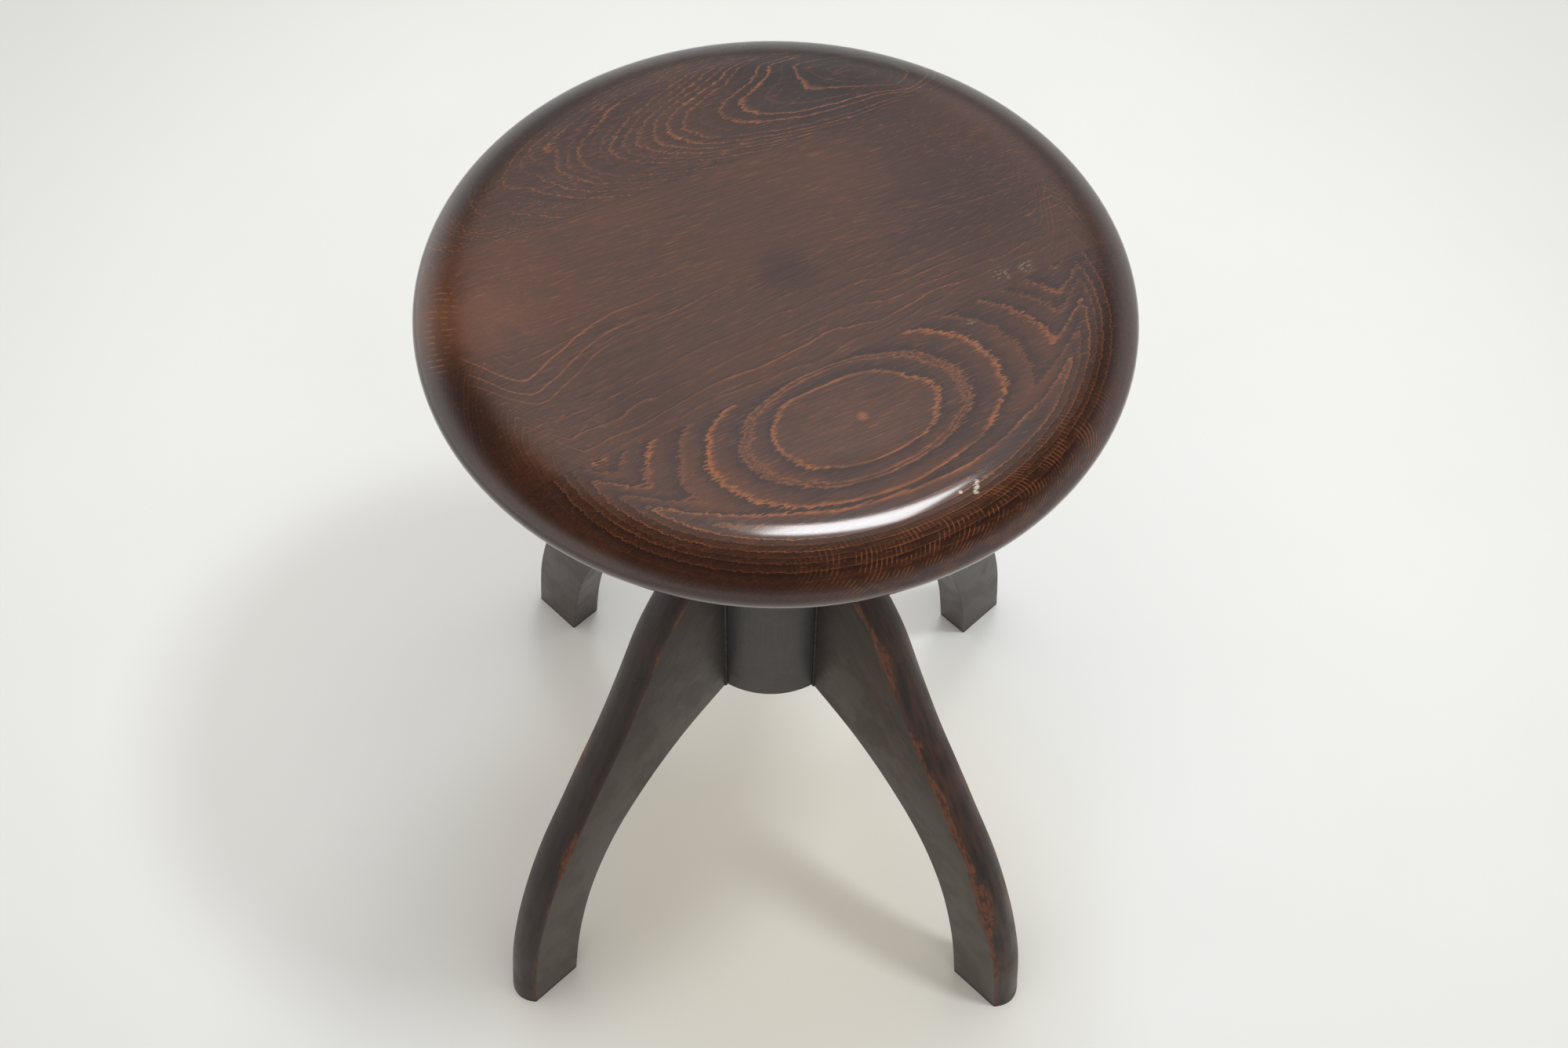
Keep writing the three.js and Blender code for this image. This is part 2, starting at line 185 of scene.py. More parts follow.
def finish_shader(tree, shader, base, roughness, height, strength, depth):
    """Feeds the shader's colour and roughness, and its normal from a height through a Bump node."""
    bump = add_node(tree, "ShaderNodeBump", {"Height": height, "Strength": strength, "Distance": depth})
    for name, value in (("Base Color", base), ("Roughness", roughness), ("Normal", bump.outputs[0])):
        feed(tree, shader.inputs[name], value)


def scaled_place(tree, place, scale):
    """A place with all its axes scaled alike."""
    node = add_node(tree, "ShaderNodeVectorMath", {0: place, "Scale": scale}, operation="SCALE")
    return node.outputs["Vector"]


def object_place(tree):
    """Object coordinates in millimetres."""
    return scaled_place(tree, add_node(tree, "ShaderNodeTexCoord").outputs["Object"], 1 / MM)


def turned_place(tree, place, turn, centre=(0.0, 0.0, 0.0)):
    """A place measured from a centre, along axes that are turned by three angles in degrees."""
    turn = [math.radians(angle) for angle in turn]
    inputs = {"Vector": place, "Location": centre, "Rotation": turn}
    return add_node(tree, "ShaderNodeMapping", inputs, vector_type="TEXTURE").outputs[0]


def axes_of(tree, place):
    """The X, Y and Z of a place."""
    return add_node(tree, "ShaderNodeSeparateXYZ", {"Vector": place}).outputs


def distance_from(tree, place, centre):
    """How far a place is from a centre."""
    node = add_node(tree, "ShaderNodeVectorMath", {0: place, 1: centre}, operation="DISTANCE")
    return node.outputs["Value"]


def soft_patch(tree, place, centre, radius, core=0.15, strength=1.0):
    """A round mask with a soft edge, at full strength in its core, which is a share of its radius."""
    return ease(tree, distance_from(tree, place, centre), radius * core, radius, strength, 0.0)


print("node helpers ready")

# %% [markdown]
# ## Floor and light
# The stool stands on a pale studio floor that fades into the pale walls. The floor's colour has painted light
# and shade in it: painted bounce light makes it warmer and a little darker beneath the stool, as if the stool
# threw its brown back on it, and painted shade makes it a little darker far off. A lamp on the right throws
# the soft shadows to the left, a very large one overhead fills them, and a small one behind the stool gives
# the bright streak on the near rim. The walls are pale, the ceiling is dark, and a window high up behind puts
# a cool haze on the flat of the seat. So the rim is hazy on its far side and deep brown on its near side. The
# wall on the left is brighter than the camera sees it, which lifts the left side of the rim.

# %% Lay the floor
FLOOR_SIZE = 6.0
FLOOR_DULL = (0.770, 0.764, 0.742, 1)
FLOOR_CLEAN = (0.810, 0.806, 0.788, 1)
FAR_CENTRE, FAR_PAINTED_SHADE = (0, 300, 0), (0.88, 0.88, 0.88, 1)
PAINTED_BOUNCE_CENTRE, WARM_PAINTED_BOUNCE = (10, -70, 0), (0.965, 0.918, 0.828, 1)
FADE_CENTRE = (0, 100, 0)
bpy.ops.object.select_all(action="DESELECT")
bpy.ops.mesh.primitive_plane_add(size=FLOOR_SIZE, location=(0, 0, 0))
floor = bpy.context.object
floor.name = "floor"
floor_material, tree, shader = new_material("pale floor", (0.8, 0.8, 0.78, 1))
place = object_place(tree)
blotches = add_node(tree, "ShaderNodeTexNoise", {"Vector": place, "Scale": 0.006, "Detail": 4.0})
floor_colour = mix_colours(tree, blotches.outputs[0], FLOOR_DULL, FLOOR_CLEAN)
# Painted shade: the floor's colour darkens away from the stool.
far_painted_shade = ease(tree, distance_from(tree, place, FAR_CENTRE), 400.0, 760.0)
floor_colour = mix_colours(tree, far_painted_shade, floor_colour, FAR_PAINTED_SHADE, "MULTIPLY")
# Painted bounce light and shade: the floor's colour turns warmer and a little darker near the stool.
painted_bounce_share = ease(tree, distance_from(tree, place, PAINTED_BOUNCE_CENTRE), 60.0, 260.0, 1.0, 0.0)
floor_colour = mix_colours(tree, painted_bounce_share, floor_colour, WARM_PAINTED_BOUNCE, "MULTIPLY")
feed(tree, shader.inputs["Base Color"], floor_colour)
shader.inputs["Roughness"].default_value = 0.75
shader.inputs["Specular IOR Level"].default_value = 0.25
clear = add_node(tree, "ShaderNodeBsdfTransparent")
fade = ease(tree, distance_from(tree, place, FADE_CENTRE), 1200.0, 2700.0)
sweep = add_node(tree, "ShaderNodeMixShader", {0: fade, 1: shader.outputs[0], 2: clear.outputs[0]})
feed(tree, tree.nodes["Material Output"].inputs["Surface"], sweep.outputs[0])
floor.data.materials.append(floor_material)
print("floor:", floor.dimensions[:])

# %% Light the stool
def soft_lamp(name, place, aim, width, height, power, colour=(1, 1, 1)):
    """A rectangular lamp that faces a point."""
    data = bpy.data.lights.new(name, "AREA")
    data.shape = "RECTANGLE"
    data.size, data.size_y = width, height
    data.energy = power
    data.color = colour
    lamp = bpy.data.objects.new(name, data)
    lamp.location = place
    lamp.rotation_euler = (Vector(aim) - Vector(place)).to_track_quat("-Z", "Y").to_euler()
    bpy.context.scene.collection.objects.link(lamp)
    return lamp


COOL_WHITE, WARM_WHITE, RIM_WHITE = (0.85, 0.935, 1.0), (1.0, 0.955, 0.885), (0.955, 0.975, 1.0)
side_lamp = soft_lamp("side lamp", (1.0, -0.2, 3.0), (0, 0, 0.2), 0.34, 0.34, 26.0, COOL_WHITE)
top_lamp = soft_lamp("top lamp", (0.3, -0.7, 3.2), (0.3, -0.7, 0), 6.2, 6.2, 120.0, WARM_WHITE)
rim_lamp = soft_lamp("rim lamp", (0.125, 0.516, 1.66), (0.0, -0.15, 0.485), 0.25, 0.20, 3.4, RIM_WHITE)
for lamp in (side_lamp, top_lamp):
    lamp.visible_glossy = False

print("lamps:", side_lamp.data.energy, top_lamp.data.energy, rim_lamp.data.energy)

# %% Put the room round it
SIDE_WALLS = 0.90
END_WALLS = 0.45
LOW_WALLS = 0.82
CEILING = 0.10
LEFT_EXTRA = 0.35
WINDOW_LIGHT = 0.58
WINDOW_WAY = (0.05, 0.66, 0.75)
ROOM_WHITE = (0.98, 0.98, 0.98, 1)
WINDOW_BLUE = (0.98, 1.12, 1.24, 1)
world = bpy.data.worlds.new("room")
bpy.context.scene.world = world
world.use_nodes = True
tree = world.node_tree
background = tree.nodes["Background"]
direction = add_node(tree, "ShaderNodeTexCoord").outputs["Generated"]
axes = axes_of(tree, direction)
end_wall = ease(tree, axes["Z"], 0.12, 0.34, LOW_WALLS, END_WALLS)
side_share = ease(tree, calculate(tree, "ABSOLUTE", axes["X"]), 0.30, 0.85)
wall = add(tree, end_wall, multiply(tree, side_share, subtract(tree, SIDE_WALLS, end_wall)))
unseen = subtract(tree, 1.0, add_node(tree, "ShaderNodeLightPath").outputs["Is Camera Ray"])
left_light = multiply(tree, ease(tree, axes["X"], -0.30, -0.85, 0.0, LEFT_EXTRA), unseen)
wall = add(tree, wall, left_light)
height_share = ease(tree, axes["Z"], 0.30, 0.76)
low_part = multiply(tree, subtract(tree, 1.0, height_share), wall)
wall = add(tree, multiply(tree, height_share, CEILING), low_part)
toward = add_node(tree, "ShaderNodeVectorMath", {0: direction, 1: WINDOW_WAY}, operation="DOT_PRODUCT")
window_share = ease(tree, toward.outputs["Value"], 0.86, 0.99)
strength = add(tree, wall, multiply(tree, window_share, WINDOW_LIGHT))
feed(tree, background.inputs["Strength"], strength)
feed(tree, background.inputs["Color"], mix_colours(tree, window_share, ROOM_WHITE, WINDOW_BLUE))
print("room nodes:", len(tree.nodes))

# %% [markdown]
# ## Modelling helpers
# Most pieces of the stool were made on a lathe, so they are made the same way here: an outline is drawn
# point by point with extrude, and spun about the stool's axis. A plane gives the first point, after its
# corners are merged into one.

# %% Define the modelling helpers
SAME_POINT = 0.00001


def pick(piece):
    """Selects one piece alone and makes it the active one."""
    bpy.ops.object.select_all(action="DESELECT")
    bpy.context.view_layer.objects.active = piece
    piece.select_set(True)


def start_piece(name):
    """A new mesh that is one single vertex at the origin, in edit mode."""
    bpy.ops.object.select_all(action="DESELECT")
    bpy.ops.mesh.primitive_plane_add(size=1.0, location=(0, 0, 0))
    piece = bpy.context.object
    piece.name = name
    piece.data.name = name
    bpy.ops.object.mode_set(mode="EDIT")
    bpy.ops.mesh.select_mode(type="VERT")
    bpy.ops.mesh.select_all(action="SELECT")
    bpy.ops.mesh.merge(type="COLLAPSE")
    return piece


def draw_outline(points):
    """Moves the selected vertex to the first point and extrudes it through the others."""
    bpy.ops.transform.translate(value=points[0])
    for here, there in zip(points, points[1:]):
        bpy.ops.mesh.extrude_region_move(TRANSFORM_OT_translate={"value": there - here})


def finish_piece(piece, smooth_angle=35):
    """Closes seams, turns faces outwards, leaves edit mode and smooths the shading."""
    bpy.ops.mesh.select_all(action="SELECT")
    bpy.ops.mesh.remove_doubles(threshold=SAME_POINT)
    bpy.ops.mesh.normals_make_consistent(inside=False)
    bpy.ops.object.mode_set(mode="OBJECT")
    bpy.ops.object.shade_smooth_by_angle(angle=math.radians(smooth_angle))
    print(piece.name, "faces:", len(piece.data.polygons))
    return piece


def turned_piece(name, outline, steps, closed=False):
    """A piece spun about Z from an outline of (radius, height) in millimetres."""
    points = [Vector((radius, 0, height)) * MM for radius, height in outline]
    if closed:
        points.append(points[0])
    piece = start_piece(name)
    draw_outline(points)
    bpy.ops.mesh.select_all(action="SELECT")
    bpy.ops.mesh.spin(steps=steps, angle=2 * math.pi, center=(0, 0, 0), axis=(0, 0, 1))
    return finish_piece(piece)


def quarter_round(centre, radii, start, end, steps):
    """Points of an ellipse's arc, with angles in degrees."""
    angles = [math.radians(start + (end - start) * i / steps) for i in range(steps + 1)]
    return [(centre[0] + radii[0] * math.cos(a), centre[1] + radii[1] * math.sin(a)) for a in angles]


def apply_modifier(piece, kind, **settings):
    """Adds a modifier and applies it."""
    pick(piece)
    modifier = piece.modifiers.new(kind.lower(), kind)
    for name, value in settings.items():
        setattr(modifier, name, value)
    bpy.ops.object.modifier_apply(modifier=modifier.name)


def place_on(piece, body, slot, material, *nodes):
    """Sets the piece's body, material slot, finish, and the CAD nodes that it stands for."""
    piece.data.materials.clear()
    piece.data.materials.append(material)
    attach(piece, body)
    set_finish(piece, slot)
    if nodes:
        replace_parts(piece, *nodes)


print("modelling helpers ready")

# %% [markdown]
# ## Wood grain
# A tree adds one ring a year, and a flat board cuts those rings at a shallow angle, so they show as long
# ovals and arches. The grain is built as the real thing is: a value that grows away from the heart of
# the tree, with slow bends and fine fibres, and a bright line wherever it passes a whole number.

# %% Group for the rings of one board
rings_group, given, wanted = make_group(
    "Growth Rings",
    [
        ("NodeSocketVector", "Vector", None),
        ("NodeSocketFloat", "Along", 0.001),
        ("NodeSocketFloat", "Across", 0.002),
        ("NodeSocketFloat", "Slant", 0.0),
        ("NodeSocketFloat", "Relief", 0.0),
        ("NodeSocketFloat", "Bend", 0.5),
        ("NodeSocketFloat", "Teeth", 4.0),
    ],
    [("NodeSocketFloat", "Distance")],
)
tree = rings_group


def stretched_noise(tree, vector, scale, detail, roughness=0.6):
    """Noise with its own scale along each axis. Returns the node."""
    mapping = add_node(tree, "ShaderNodeMapping", {"Vector": vector, "Scale": scale})
    return add_node(tree, "ShaderNodeTexNoise", {"Vector": mapping.outputs[0], "Scale": 1.0,
                                                 "Detail": detail, "Roughness": roughness})


TOOTH_LENGTH = 4.0
WOBBLE = 2.4
SMALL_BENDS = 0.6
fine = stretched_noise(tree, given["Vector"], (0.10, 0.85, 0.5), 3.0, 0.7)
offsets = add_node(tree, "ShaderNodeSeparateColor", {"Color": fine.outputs["Color"]}).outputs
parts = axes_of(tree, given["Vector"])
tooth = multiply(tree, subtract(tree, offsets["Red"], 0.5), given["Teeth"])
x = add(tree, parts["X"], multiply(tree, tooth, TOOTH_LENGTH))
y = add(tree, parts["Y"], multiply(tree, subtract(tree, offsets["Green"], 0.5), WOBBLE))
along = multiply(tree, multiply(tree, x, x), given["Along"])
across = multiply(tree, multiply(tree, y, y), given["Across"])
slow = stretched_noise(tree, given["Vector"], (0.012, 0.030, 0.02), 1.0).outputs[0]
middling = stretched_noise(tree, given["Vector"], (0.035, 0.075, 0.05), 1.0).outputs[0]
small = multiply(tree, subtract(tree, middling, 0.5), SMALL_BENDS)
bend = add(tree, subtract(tree, slow, 0.5), small)
total = add(tree, add(tree, along, across), multiply(tree, y, given["Slant"]))
total = subtract(tree, total, given["Relief"])
total = add(tree, total, multiply(tree, bend, given["Bend"]))
feed(tree, wanted["Distance"], total)
print("ring group nodes:", len(tree.nodes))

# %% [markdown]
# ## Ring lines
# In stained beech the dense late wood at the end of each ring takes little stain and stays orange, and
# the open wood that follows goes darkest. So the tone climbs slowly through a ring, flares into a line,
# and drops at once. No two rings are equally strong, so each draws its own strength from its number.

# %% Group for the tone of a ring
PLAIN_TONE = 0.3
LINE_END = 0.97
tone_group, given, wanted = make_group(
    "Ring Tone",
    [
        ("NodeSocketFloat", "Distance", 0.0),
        ("NodeSocketFloat", "Width", 0.12),
        ("NodeSocketFloat", "Strength", 1.0),
    ],
    [("NodeSocketFloat", "Tone")],
)
tree = tone_group
number = calculate(tree, "FLOOR", given["Distance"])
share = calculate(tree, "FRACT", given["Distance"])
strength = add_node(tree, "ShaderNodeTexWhiteNoise", {"W": number}, noise_dimensions="1D").outputs["Value"]
strength = multiply(tree, ease(tree, strength, 0.0, 1.0, 0.25, 1.0), given["Strength"])
fall = multiply(tree, ease(tree, share, 0.0, 0.35, 0.24, 0.0), given["Strength"])
into_line = subtract(tree, share, subtract(tree, LINE_END, given["Width"]))
flare = calculate(tree, "DIVIDE", into_line, given["Width"], clamp=True)
flare = add(tree, multiply(tree, flare, 0.7), ease(tree, share, 0.5, 0.95, 0.0, 0.16))
end_drop = ease(tree, share, 0.965, 1.0, 1.0, 0.0)
flare = multiply(tree, multiply(tree, flare, strength), end_drop)
feed(tree, wanted["Tone"], add(tree, subtract(tree, PLAIN_TONE, fall), flare))
print("ring tone group nodes:", len(tree.nodes))

# %% [markdown]
# ## Fibres and flecks
# Between the rings the wood has long thin fibres, and beech shows short ray flecks besides. Both are
# noise that is stretched along the board. All the woods of the stool share them, at their own strength.

# %% Group for the fibres
fibre_group, given, wanted = make_group(
    "Wood Fibres",
    [("NodeSocketVector", "Vector", None), ("NodeSocketFloat", "Fineness", 1.0)],
    [("NodeSocketFloat", "Streaks"), ("NodeSocketFloat", "Flecks"), ("NodeSocketFloat", "Pores")],
)
tree = fibre_group
place = scaled_place(tree, given["Vector"], given["Fineness"])
for output, scale, detail, low, high in (
    ("Streaks", (0.03, 0.85, 0.85), 5.0, 0.32, 0.68),
    ("Flecks", (0.06, 1.5, 1.5), 2.0, 0.60, 0.70),
    ("Pores", (0.35, 3.2, 3.2), 1.0, 0.6, 0.74),
):
    noise = stretched_noise(tree, place, scale, detail)
    feed(tree, wanted[output], ease(tree, noise.outputs[0], low, high))
print("fibre group nodes:", len(tree.nodes))

# %% [markdown]
# ## Signs of use
# Hands, dust and cleaning leave marks on every finish. This group gives two masks for all materials:
# broad smudges, and fine scratches that run in two directions.

# %% Group for smudges and scratches
use_marks, given, wanted = make_group(
    "Signs of Use",
    [("NodeSocketVector", "Vector", None), ("NodeSocketFloat", "Size", 30.0)],
    [("NodeSocketFloat", "Smudge"), ("NodeSocketFloat", "Scratch"), ("NodeSocketFloat", "Dust")],
)
tree = use_marks
place = scaled_place(tree, given["Vector"], calculate(tree, "DIVIDE", 1.0, given["Size"]))
broad = add_node(tree, "ShaderNodeTexNoise", {
    "Vector": place, "Scale": 1.0, "Detail": 4.0, "Roughness": 0.62})
feed(tree, wanted["Smudge"], ease(tree, broad.outputs[0], 0.38, 0.68))
scratches = None
for turn_angle in (0.6, 2.3):
    turned = add_node(tree, "ShaderNodeMapping", {
        "Vector": given["Vector"], "Rotation": (0.2, 0.1, turn_angle), "Scale": (0.03, 2.2, 2.2)})
    noise = add_node(tree, "ShaderNodeTexNoise", {"Vector": turned.outputs[0], "Scale": 1.0, "Detail": 1.0})
    mask = ease(tree, noise.outputs[0], 0.7, 0.76)
    scratches = mask if scratches is None else calculate(tree, "MAXIMUM", scratches, mask)
feed(tree, wanted["Scratch"], scratches)
specks = add_node(tree, "ShaderNodeTexNoise", {"Vector": given["Vector"], "Scale": 0.9, "Detail": 2.0})
feed(tree, wanted["Dust"], ease(tree, specks.outputs[0], 0.7, 0.78))
print("signs of use group nodes:", len(tree.nodes))

# %% [markdown]
# ## Lacquered seat wood
# The seat is glued from four boards of beech, stained dark and lacquered. Each board has its own centre
# and direction for its rings. The front board shows a closed oval, the second and third show long
# slanting lines, and the far one shows nested arches. Where the lathe cut into a board, at the edge of
# the dish and round the rim, it went through more rings, so the lines turn and crowd there. Three long
# veins of the second board show this best: each hooks round where it meets the edge of the dish.

# %% Find how deep the lathe cut
SEAT_TOP = 489.0
SEAT_RADIUS = 175.0
CREST_RADIUS = 143.0
DISH_RINGS = 6.8
seat_wood, tree, shader = new_material("lacquered seat wood", (0.09, 0.04, 0.02, 1))
seat_place = object_place(tree)
axes = axes_of(tree, seat_place)
level = add_node(tree, "ShaderNodeCombineXYZ", {"X": axes["X"], "Y": axes["Y"]}).outputs[0]
from_axis = add_node(tree, "ShaderNodeVectorMath", {0: level}, operation="LENGTH").outputs["Value"]
dish_relief = ease(tree, from_axis, 133.0, 151.0, 0.0, DISH_RINGS)
rim_drop = subtract(tree, SEAT_TOP, axes["Z"])
on_rim = ease(tree, from_axis, CREST_RADIUS, 149.0)
past_crest = calculate(tree, "MAXIMUM", subtract(tree, from_axis, CREST_RADIUS), 0.0)
rim_relief = add(tree, multiply(tree, rim_drop, 0.6), multiply(tree, past_crest, 0.38))
relief = subtract(tree, dish_relief, multiply(tree, rim_relief, on_rim))
print("relief nodes:", len(tree.nodes))

# %% Lay the rings of the four boards
BOARDS = {
    "front": {"centre": (37.5, -80.0), "turn": 28.0, "Along": 0.00082, "Across": 0.0022, "Bend": 1.0,
              "Teeth": 4.0, "deep": 1.0},
    "second": {"centre": (-60.0, -30.0), "turn": 33.0, "Along": 0.00006, "Across": 0.0006, "Slant": 0.19,
               "Bend": 2.0, "Teeth": 3.0, "deep": 0.8},
    "third": {"centre": (-60.0, 30.0), "turn": 25.0, "Along": 0.0001, "Across": 0.0009, "Slant": 0.27,
              "Bend": 3.0, "Teeth": 3.0, "deep": 0.7},
    "far": {"centre": (52.0, 149.0), "turn": 25.0, "Along": 0.0005, "Across": 0.0086, "Bend": 1.2,
            "Teeth": 3.0, "deep": 0.35},
}
board_places = {}
distances = {}
for name, board in BOARDS.items():
    place = turned_place(tree, seat_place, (0, 0, board["turn"]), (*board["centre"], 0.0))
    board_places[name] = place
    values = {key: board[key] for key in ("Along", "Across", "Slant", "Bend", "Teeth") if key in board}
    values["Relief"] = multiply(tree, relief, board["deep"])
    distances[name] = use_group(tree, rings_group, {"Vector": place, **values})["Distance"]
print("boards:", ", ".join(BOARDS))

# %% Draw the rings of each board
FRONT_RINGS = ((1.43, 1.0), (2.35, 0.75), (2.62, 0.7), (4.5, 1.0), (6.4, 0.45), (8.8, 0.95), (11.0, 0.45),
               (13.0, 0.85), (16.3, 0.9))
RING_SPAN = 20.0
HEART_TONE = 0.44
AFTER_LINE = 0.03
ramp_node = add_node(tree, "ShaderNodeValToRGB")
feed(tree, ramp_node.inputs[0], calculate(tree, "DIVIDE", distances["front"], RING_SPAN))
ramp = ramp_node.color_ramp
ramp.elements[0].position, ramp.elements[0].color = 0.0, (HEART_TONE,) * 3 + (1,)
ramp.elements[1].position, ramp.elements[1].color = 1.0, (PLAIN_TONE,) * 3 + (1,)
for ring, strength in FRONT_RINGS:
    flare = 0.17 if ring < 3 else 0.42
    steps = [(-flare, PLAIN_TONE + 0.1), (-0.05, PLAIN_TONE + 0.75 * strength), (0.04, AFTER_LINE)]
    if ring < 2.5:
        steps.insert(1, (-0.6 * flare, PLAIN_TONE + 0.55 * strength))
    for offset, tone in steps:
        stop = ramp.elements.new((ring + offset) / RING_SPAN)
        stop.color = (tone, tone, tone, 1)


def ring_tone(name, width, strength):
    """The tone of one board's rings."""
    values = {"Distance": distances[name], "Width": width, "Strength": strength}
    return use_group(tree, tone_group, values)["Tone"]


past_ovals = ease(tree, distances["front"], 17.5, 19.5)
tones = {
    "front": mix_colours(tree, past_ovals, ramp_node.outputs[0], ring_tone("front", 0.3, 0.4)),
    "second": ring_tone("second", 0.10, 0.6),
    "third": ring_tone("third", 0.2, 0.25),
    "far": ring_tone("far", 0.26, 0.72),
}
print("front board rings:", len(FRONT_RINGS))

# %% Join the boards with glue lines
JOINTS = (("second", 29.5, -54.0), ("third", 23.6, 8.56), ("far", 26.0, 82.0))
WARMTH = {"front": 0.0, "second": 0.17, "third": 0.30, "far": 0.06}
tone = tones["front"]
warmth = (0, 0, 0, 1)
glue = None
fibre_place = board_places["front"]
for name, joint_turn, joint_place in JOINTS:
    across = axes_of(tree, turned_place(tree, seat_place, (0, 0, joint_turn)))["Y"]
    past = calculate(tree, "GREATER_THAN", across, joint_place)
    tone = mix_colours(tree, past, tone, tones[name])
    warmth = mix_colours(tree, past, warmth, (WARMTH[name],) * 3 + (1,))
    fibre_place = mix_colours(tree, past, fibre_place, board_places[name])
    offset = calculate(tree, "ABSOLUTE", subtract(tree, across, joint_place))
    seam = ease(tree, offset, 0.1, 0.6, 1.0, 0.0)
    glue = seam if glue is None else calculate(tree, "MAXIMUM", glue, seam)
fibres = use_group(tree, fibre_group, {"Vector": fibre_place, "Fineness": 1.3})
marks = use_group(tree, use_marks, {"Vector": seat_place, "Size": 45.0})
print("glue joints:", len(JOINTS))

# %% Draw three long veins on the second board
VEINS = ((22.5, 1.0), (13.0, 0.75), (6.5, 0.5))
VEIN_TURN = 30.0
VEIN_SWAY = 5.0
vein_place = turned_place(tree, seat_place, (0, 0, VEIN_TURN))
vein_axes = axes_of(tree, vein_place)
vein_sway = subtract(tree, stretched_noise(tree, vein_place, (0.03, 0.05, 0.05), 4.0).outputs[0], 0.5)
vein_way = add(tree, vein_axes["Y"], ease(tree, from_axis, 80.0, 146.0, 0.0, 21.0))
vein_way = subtract(tree, vein_way, ease(tree, from_axis, 128.0, 164.0, 0.0, 34.0))
vein_way = add(tree, vein_way, multiply(tree, vein_sway, VEIN_SWAY))
veins = 0.0
for offset, strength in VEINS:
    away = calculate(tree, "ABSOLUTE", subtract(tree, vein_way, offset))
    veins = add(tree, veins, ease(tree, away, 0.15, 0.75, strength, 0.0))
veins = multiply(tree, veins, ease(tree, vein_axes["X"], -15.0, -110.0))
veins = multiply(tree, veins, ease(tree, from_axis, 158.0, 150.0))
print("veins:", len(VEINS))

# %% [markdown]
# ## Wear and ticks
# Stain never takes evenly, and sitting wears it. So the front is warmer than the back, some patches are
# warm and some dark. On the rim the lathe cut across the beech's rays. At the front right they show as
# short ticks that stand up from the edge, and on the left as a few that lie along the board.

# %% Spread the worn patches
WARM_PATCHES = (
    ((-130, -10), 60, 0.4), ((-142, -26), 27, 0.8), ((-160, -30), 26, 0.45), ((-85, 35), 34, 0.35),
    ((25, 72), 34, 0.45), ((70, 70), 30, 0.35), ((112, -48), 46, 0.35), ((-20, -128), 60, 0.35),
)
DARK_PATCHES = (
    ((4, 10), 22, 0.55), ((90, 64), 62, 0.65), ((-60, -75), 34, 0.35), ((50, 128), 60, 0.6),
    ((0, 152), 75, 0.95), ((-105, 118), 55, 0.6), ((-146, -90), 42, 0.55),
)


def add_patches(start, patches):
    """A mask with round patches added to it."""
    for centre, radius, weight in patches:
        start = add(tree, start, multiply(tree, soft_patch(tree, level, (*centre, 0), radius), weight))
    return start


warm = add_patches(ease(tree, axes["Y"], 40.0, -150.0, 0.0, 0.42), WARM_PATCHES)
dark = add_patches(0.0, DARK_PATCHES)
warm = multiply(tree, warm, ease(tree, marks["Smudge"], 0.0, 1.0, 0.55, 1.1), clamp=True)
print("patches:", len(WARM_PATCHES) + len(DARK_PATCHES))

# %% Tick the rim with rays
RAY_PITCH = 2.5
LEFT_PITCH = 3.4
LEFT_MIDDLE = -30.0


def comb(value, pitch):
    """A row of soft lines, one in each pitch of a value."""
    share = calculate(tree, "FRACT", calculate(tree, "DIVIDE", value, pitch))
    return ease(tree, calculate(tree, "ABSOLUTE", subtract(tree, share, 0.5)), 0.20, 0.05)


round_rim = multiply(tree, calculate(tree, "ARCTAN2", axes["Y"], axes["X"]), SEAT_RADIUS)
down_rim = add(tree, rim_drop, past_crest)
rim_place = add_node(tree, "ShaderNodeCombineXYZ", {"X": round_rim, "Y": down_rim}).outputs[0]
bow = subtract(tree, down_rim, 22.0)
bow = multiply(tree, multiply(tree, bow, bow), 0.032)
sway = stretched_noise(tree, rim_place, (0.018, 0.03, 1.0), 0.0).outputs[0]
ray_breaks = ease(tree, stretched_noise(tree, rim_place, (0.09, 0.16, 1.0), 3.0).outputs[0], 0.42, 0.62)
ticks = comb(add(tree, add(tree, round_rim, bow), multiply(tree, sway, 16.0)), RAY_PITCH)
around = calculate(tree, "ARCTAN2", multiply(tree, axes["Y"], -1.0), axes["X"])
on_front_right = multiply(tree, ease(tree, around, 1.62, 1.25), ease(tree, around, 0.25, 0.6))
tick_reach = multiply(tree, ease(tree, from_axis, 150.0, 157.0), on_front_right)
ticks = multiply(tree, multiply(tree, ticks, ray_breaks), tick_reach)
left_ticks = comb(add(tree, axes["Y"], multiply(tree, sway, 9.0)), LEFT_PITCH)
left_reach = multiply(tree, ease(tree, axes["X"], -149.0, -155.0), ease(tree, axes["X"], -169.0, -162.0))
off_middle = calculate(tree, "ABSOLUTE", subtract(tree, axes["Y"], LEFT_MIDDLE))
left_reach = multiply(tree, left_reach, ease(tree, off_middle, 32.0, 20.0))
left_ticks = multiply(tree, multiply(tree, left_ticks, ray_breaks), left_reach)
ticks = calculate(tree, "MAXIMUM", ticks, left_ticks)
print("seat wood nodes:", len(tree.nodes))

# %% Mark the chips in the lacquer
CHIPS = (
    ((95, -115), 2.6), ((98, -112), 2.0), ((108, 9), 7.0),
    ((120, 13), 6.0), ((92, -22), 2.6), ((118, -20), 3.0),
)
chip_noise = stretched_noise(tree, board_places["second"], (0.35, 0.9, 0.5), 2.0).outputs[0]
chip_spots = ease(tree, chip_noise, 0.54, 0.60)
chips = None
for centre, radius in CHIPS:
    spot = soft_patch(tree, level, (*centre, 0), radius)
    chips = spot if chips is None else calculate(tree, "MAXIMUM", chips, spot)
chips = multiply(tree, chips, chip_spots)
print("chips:", len(CHIPS))

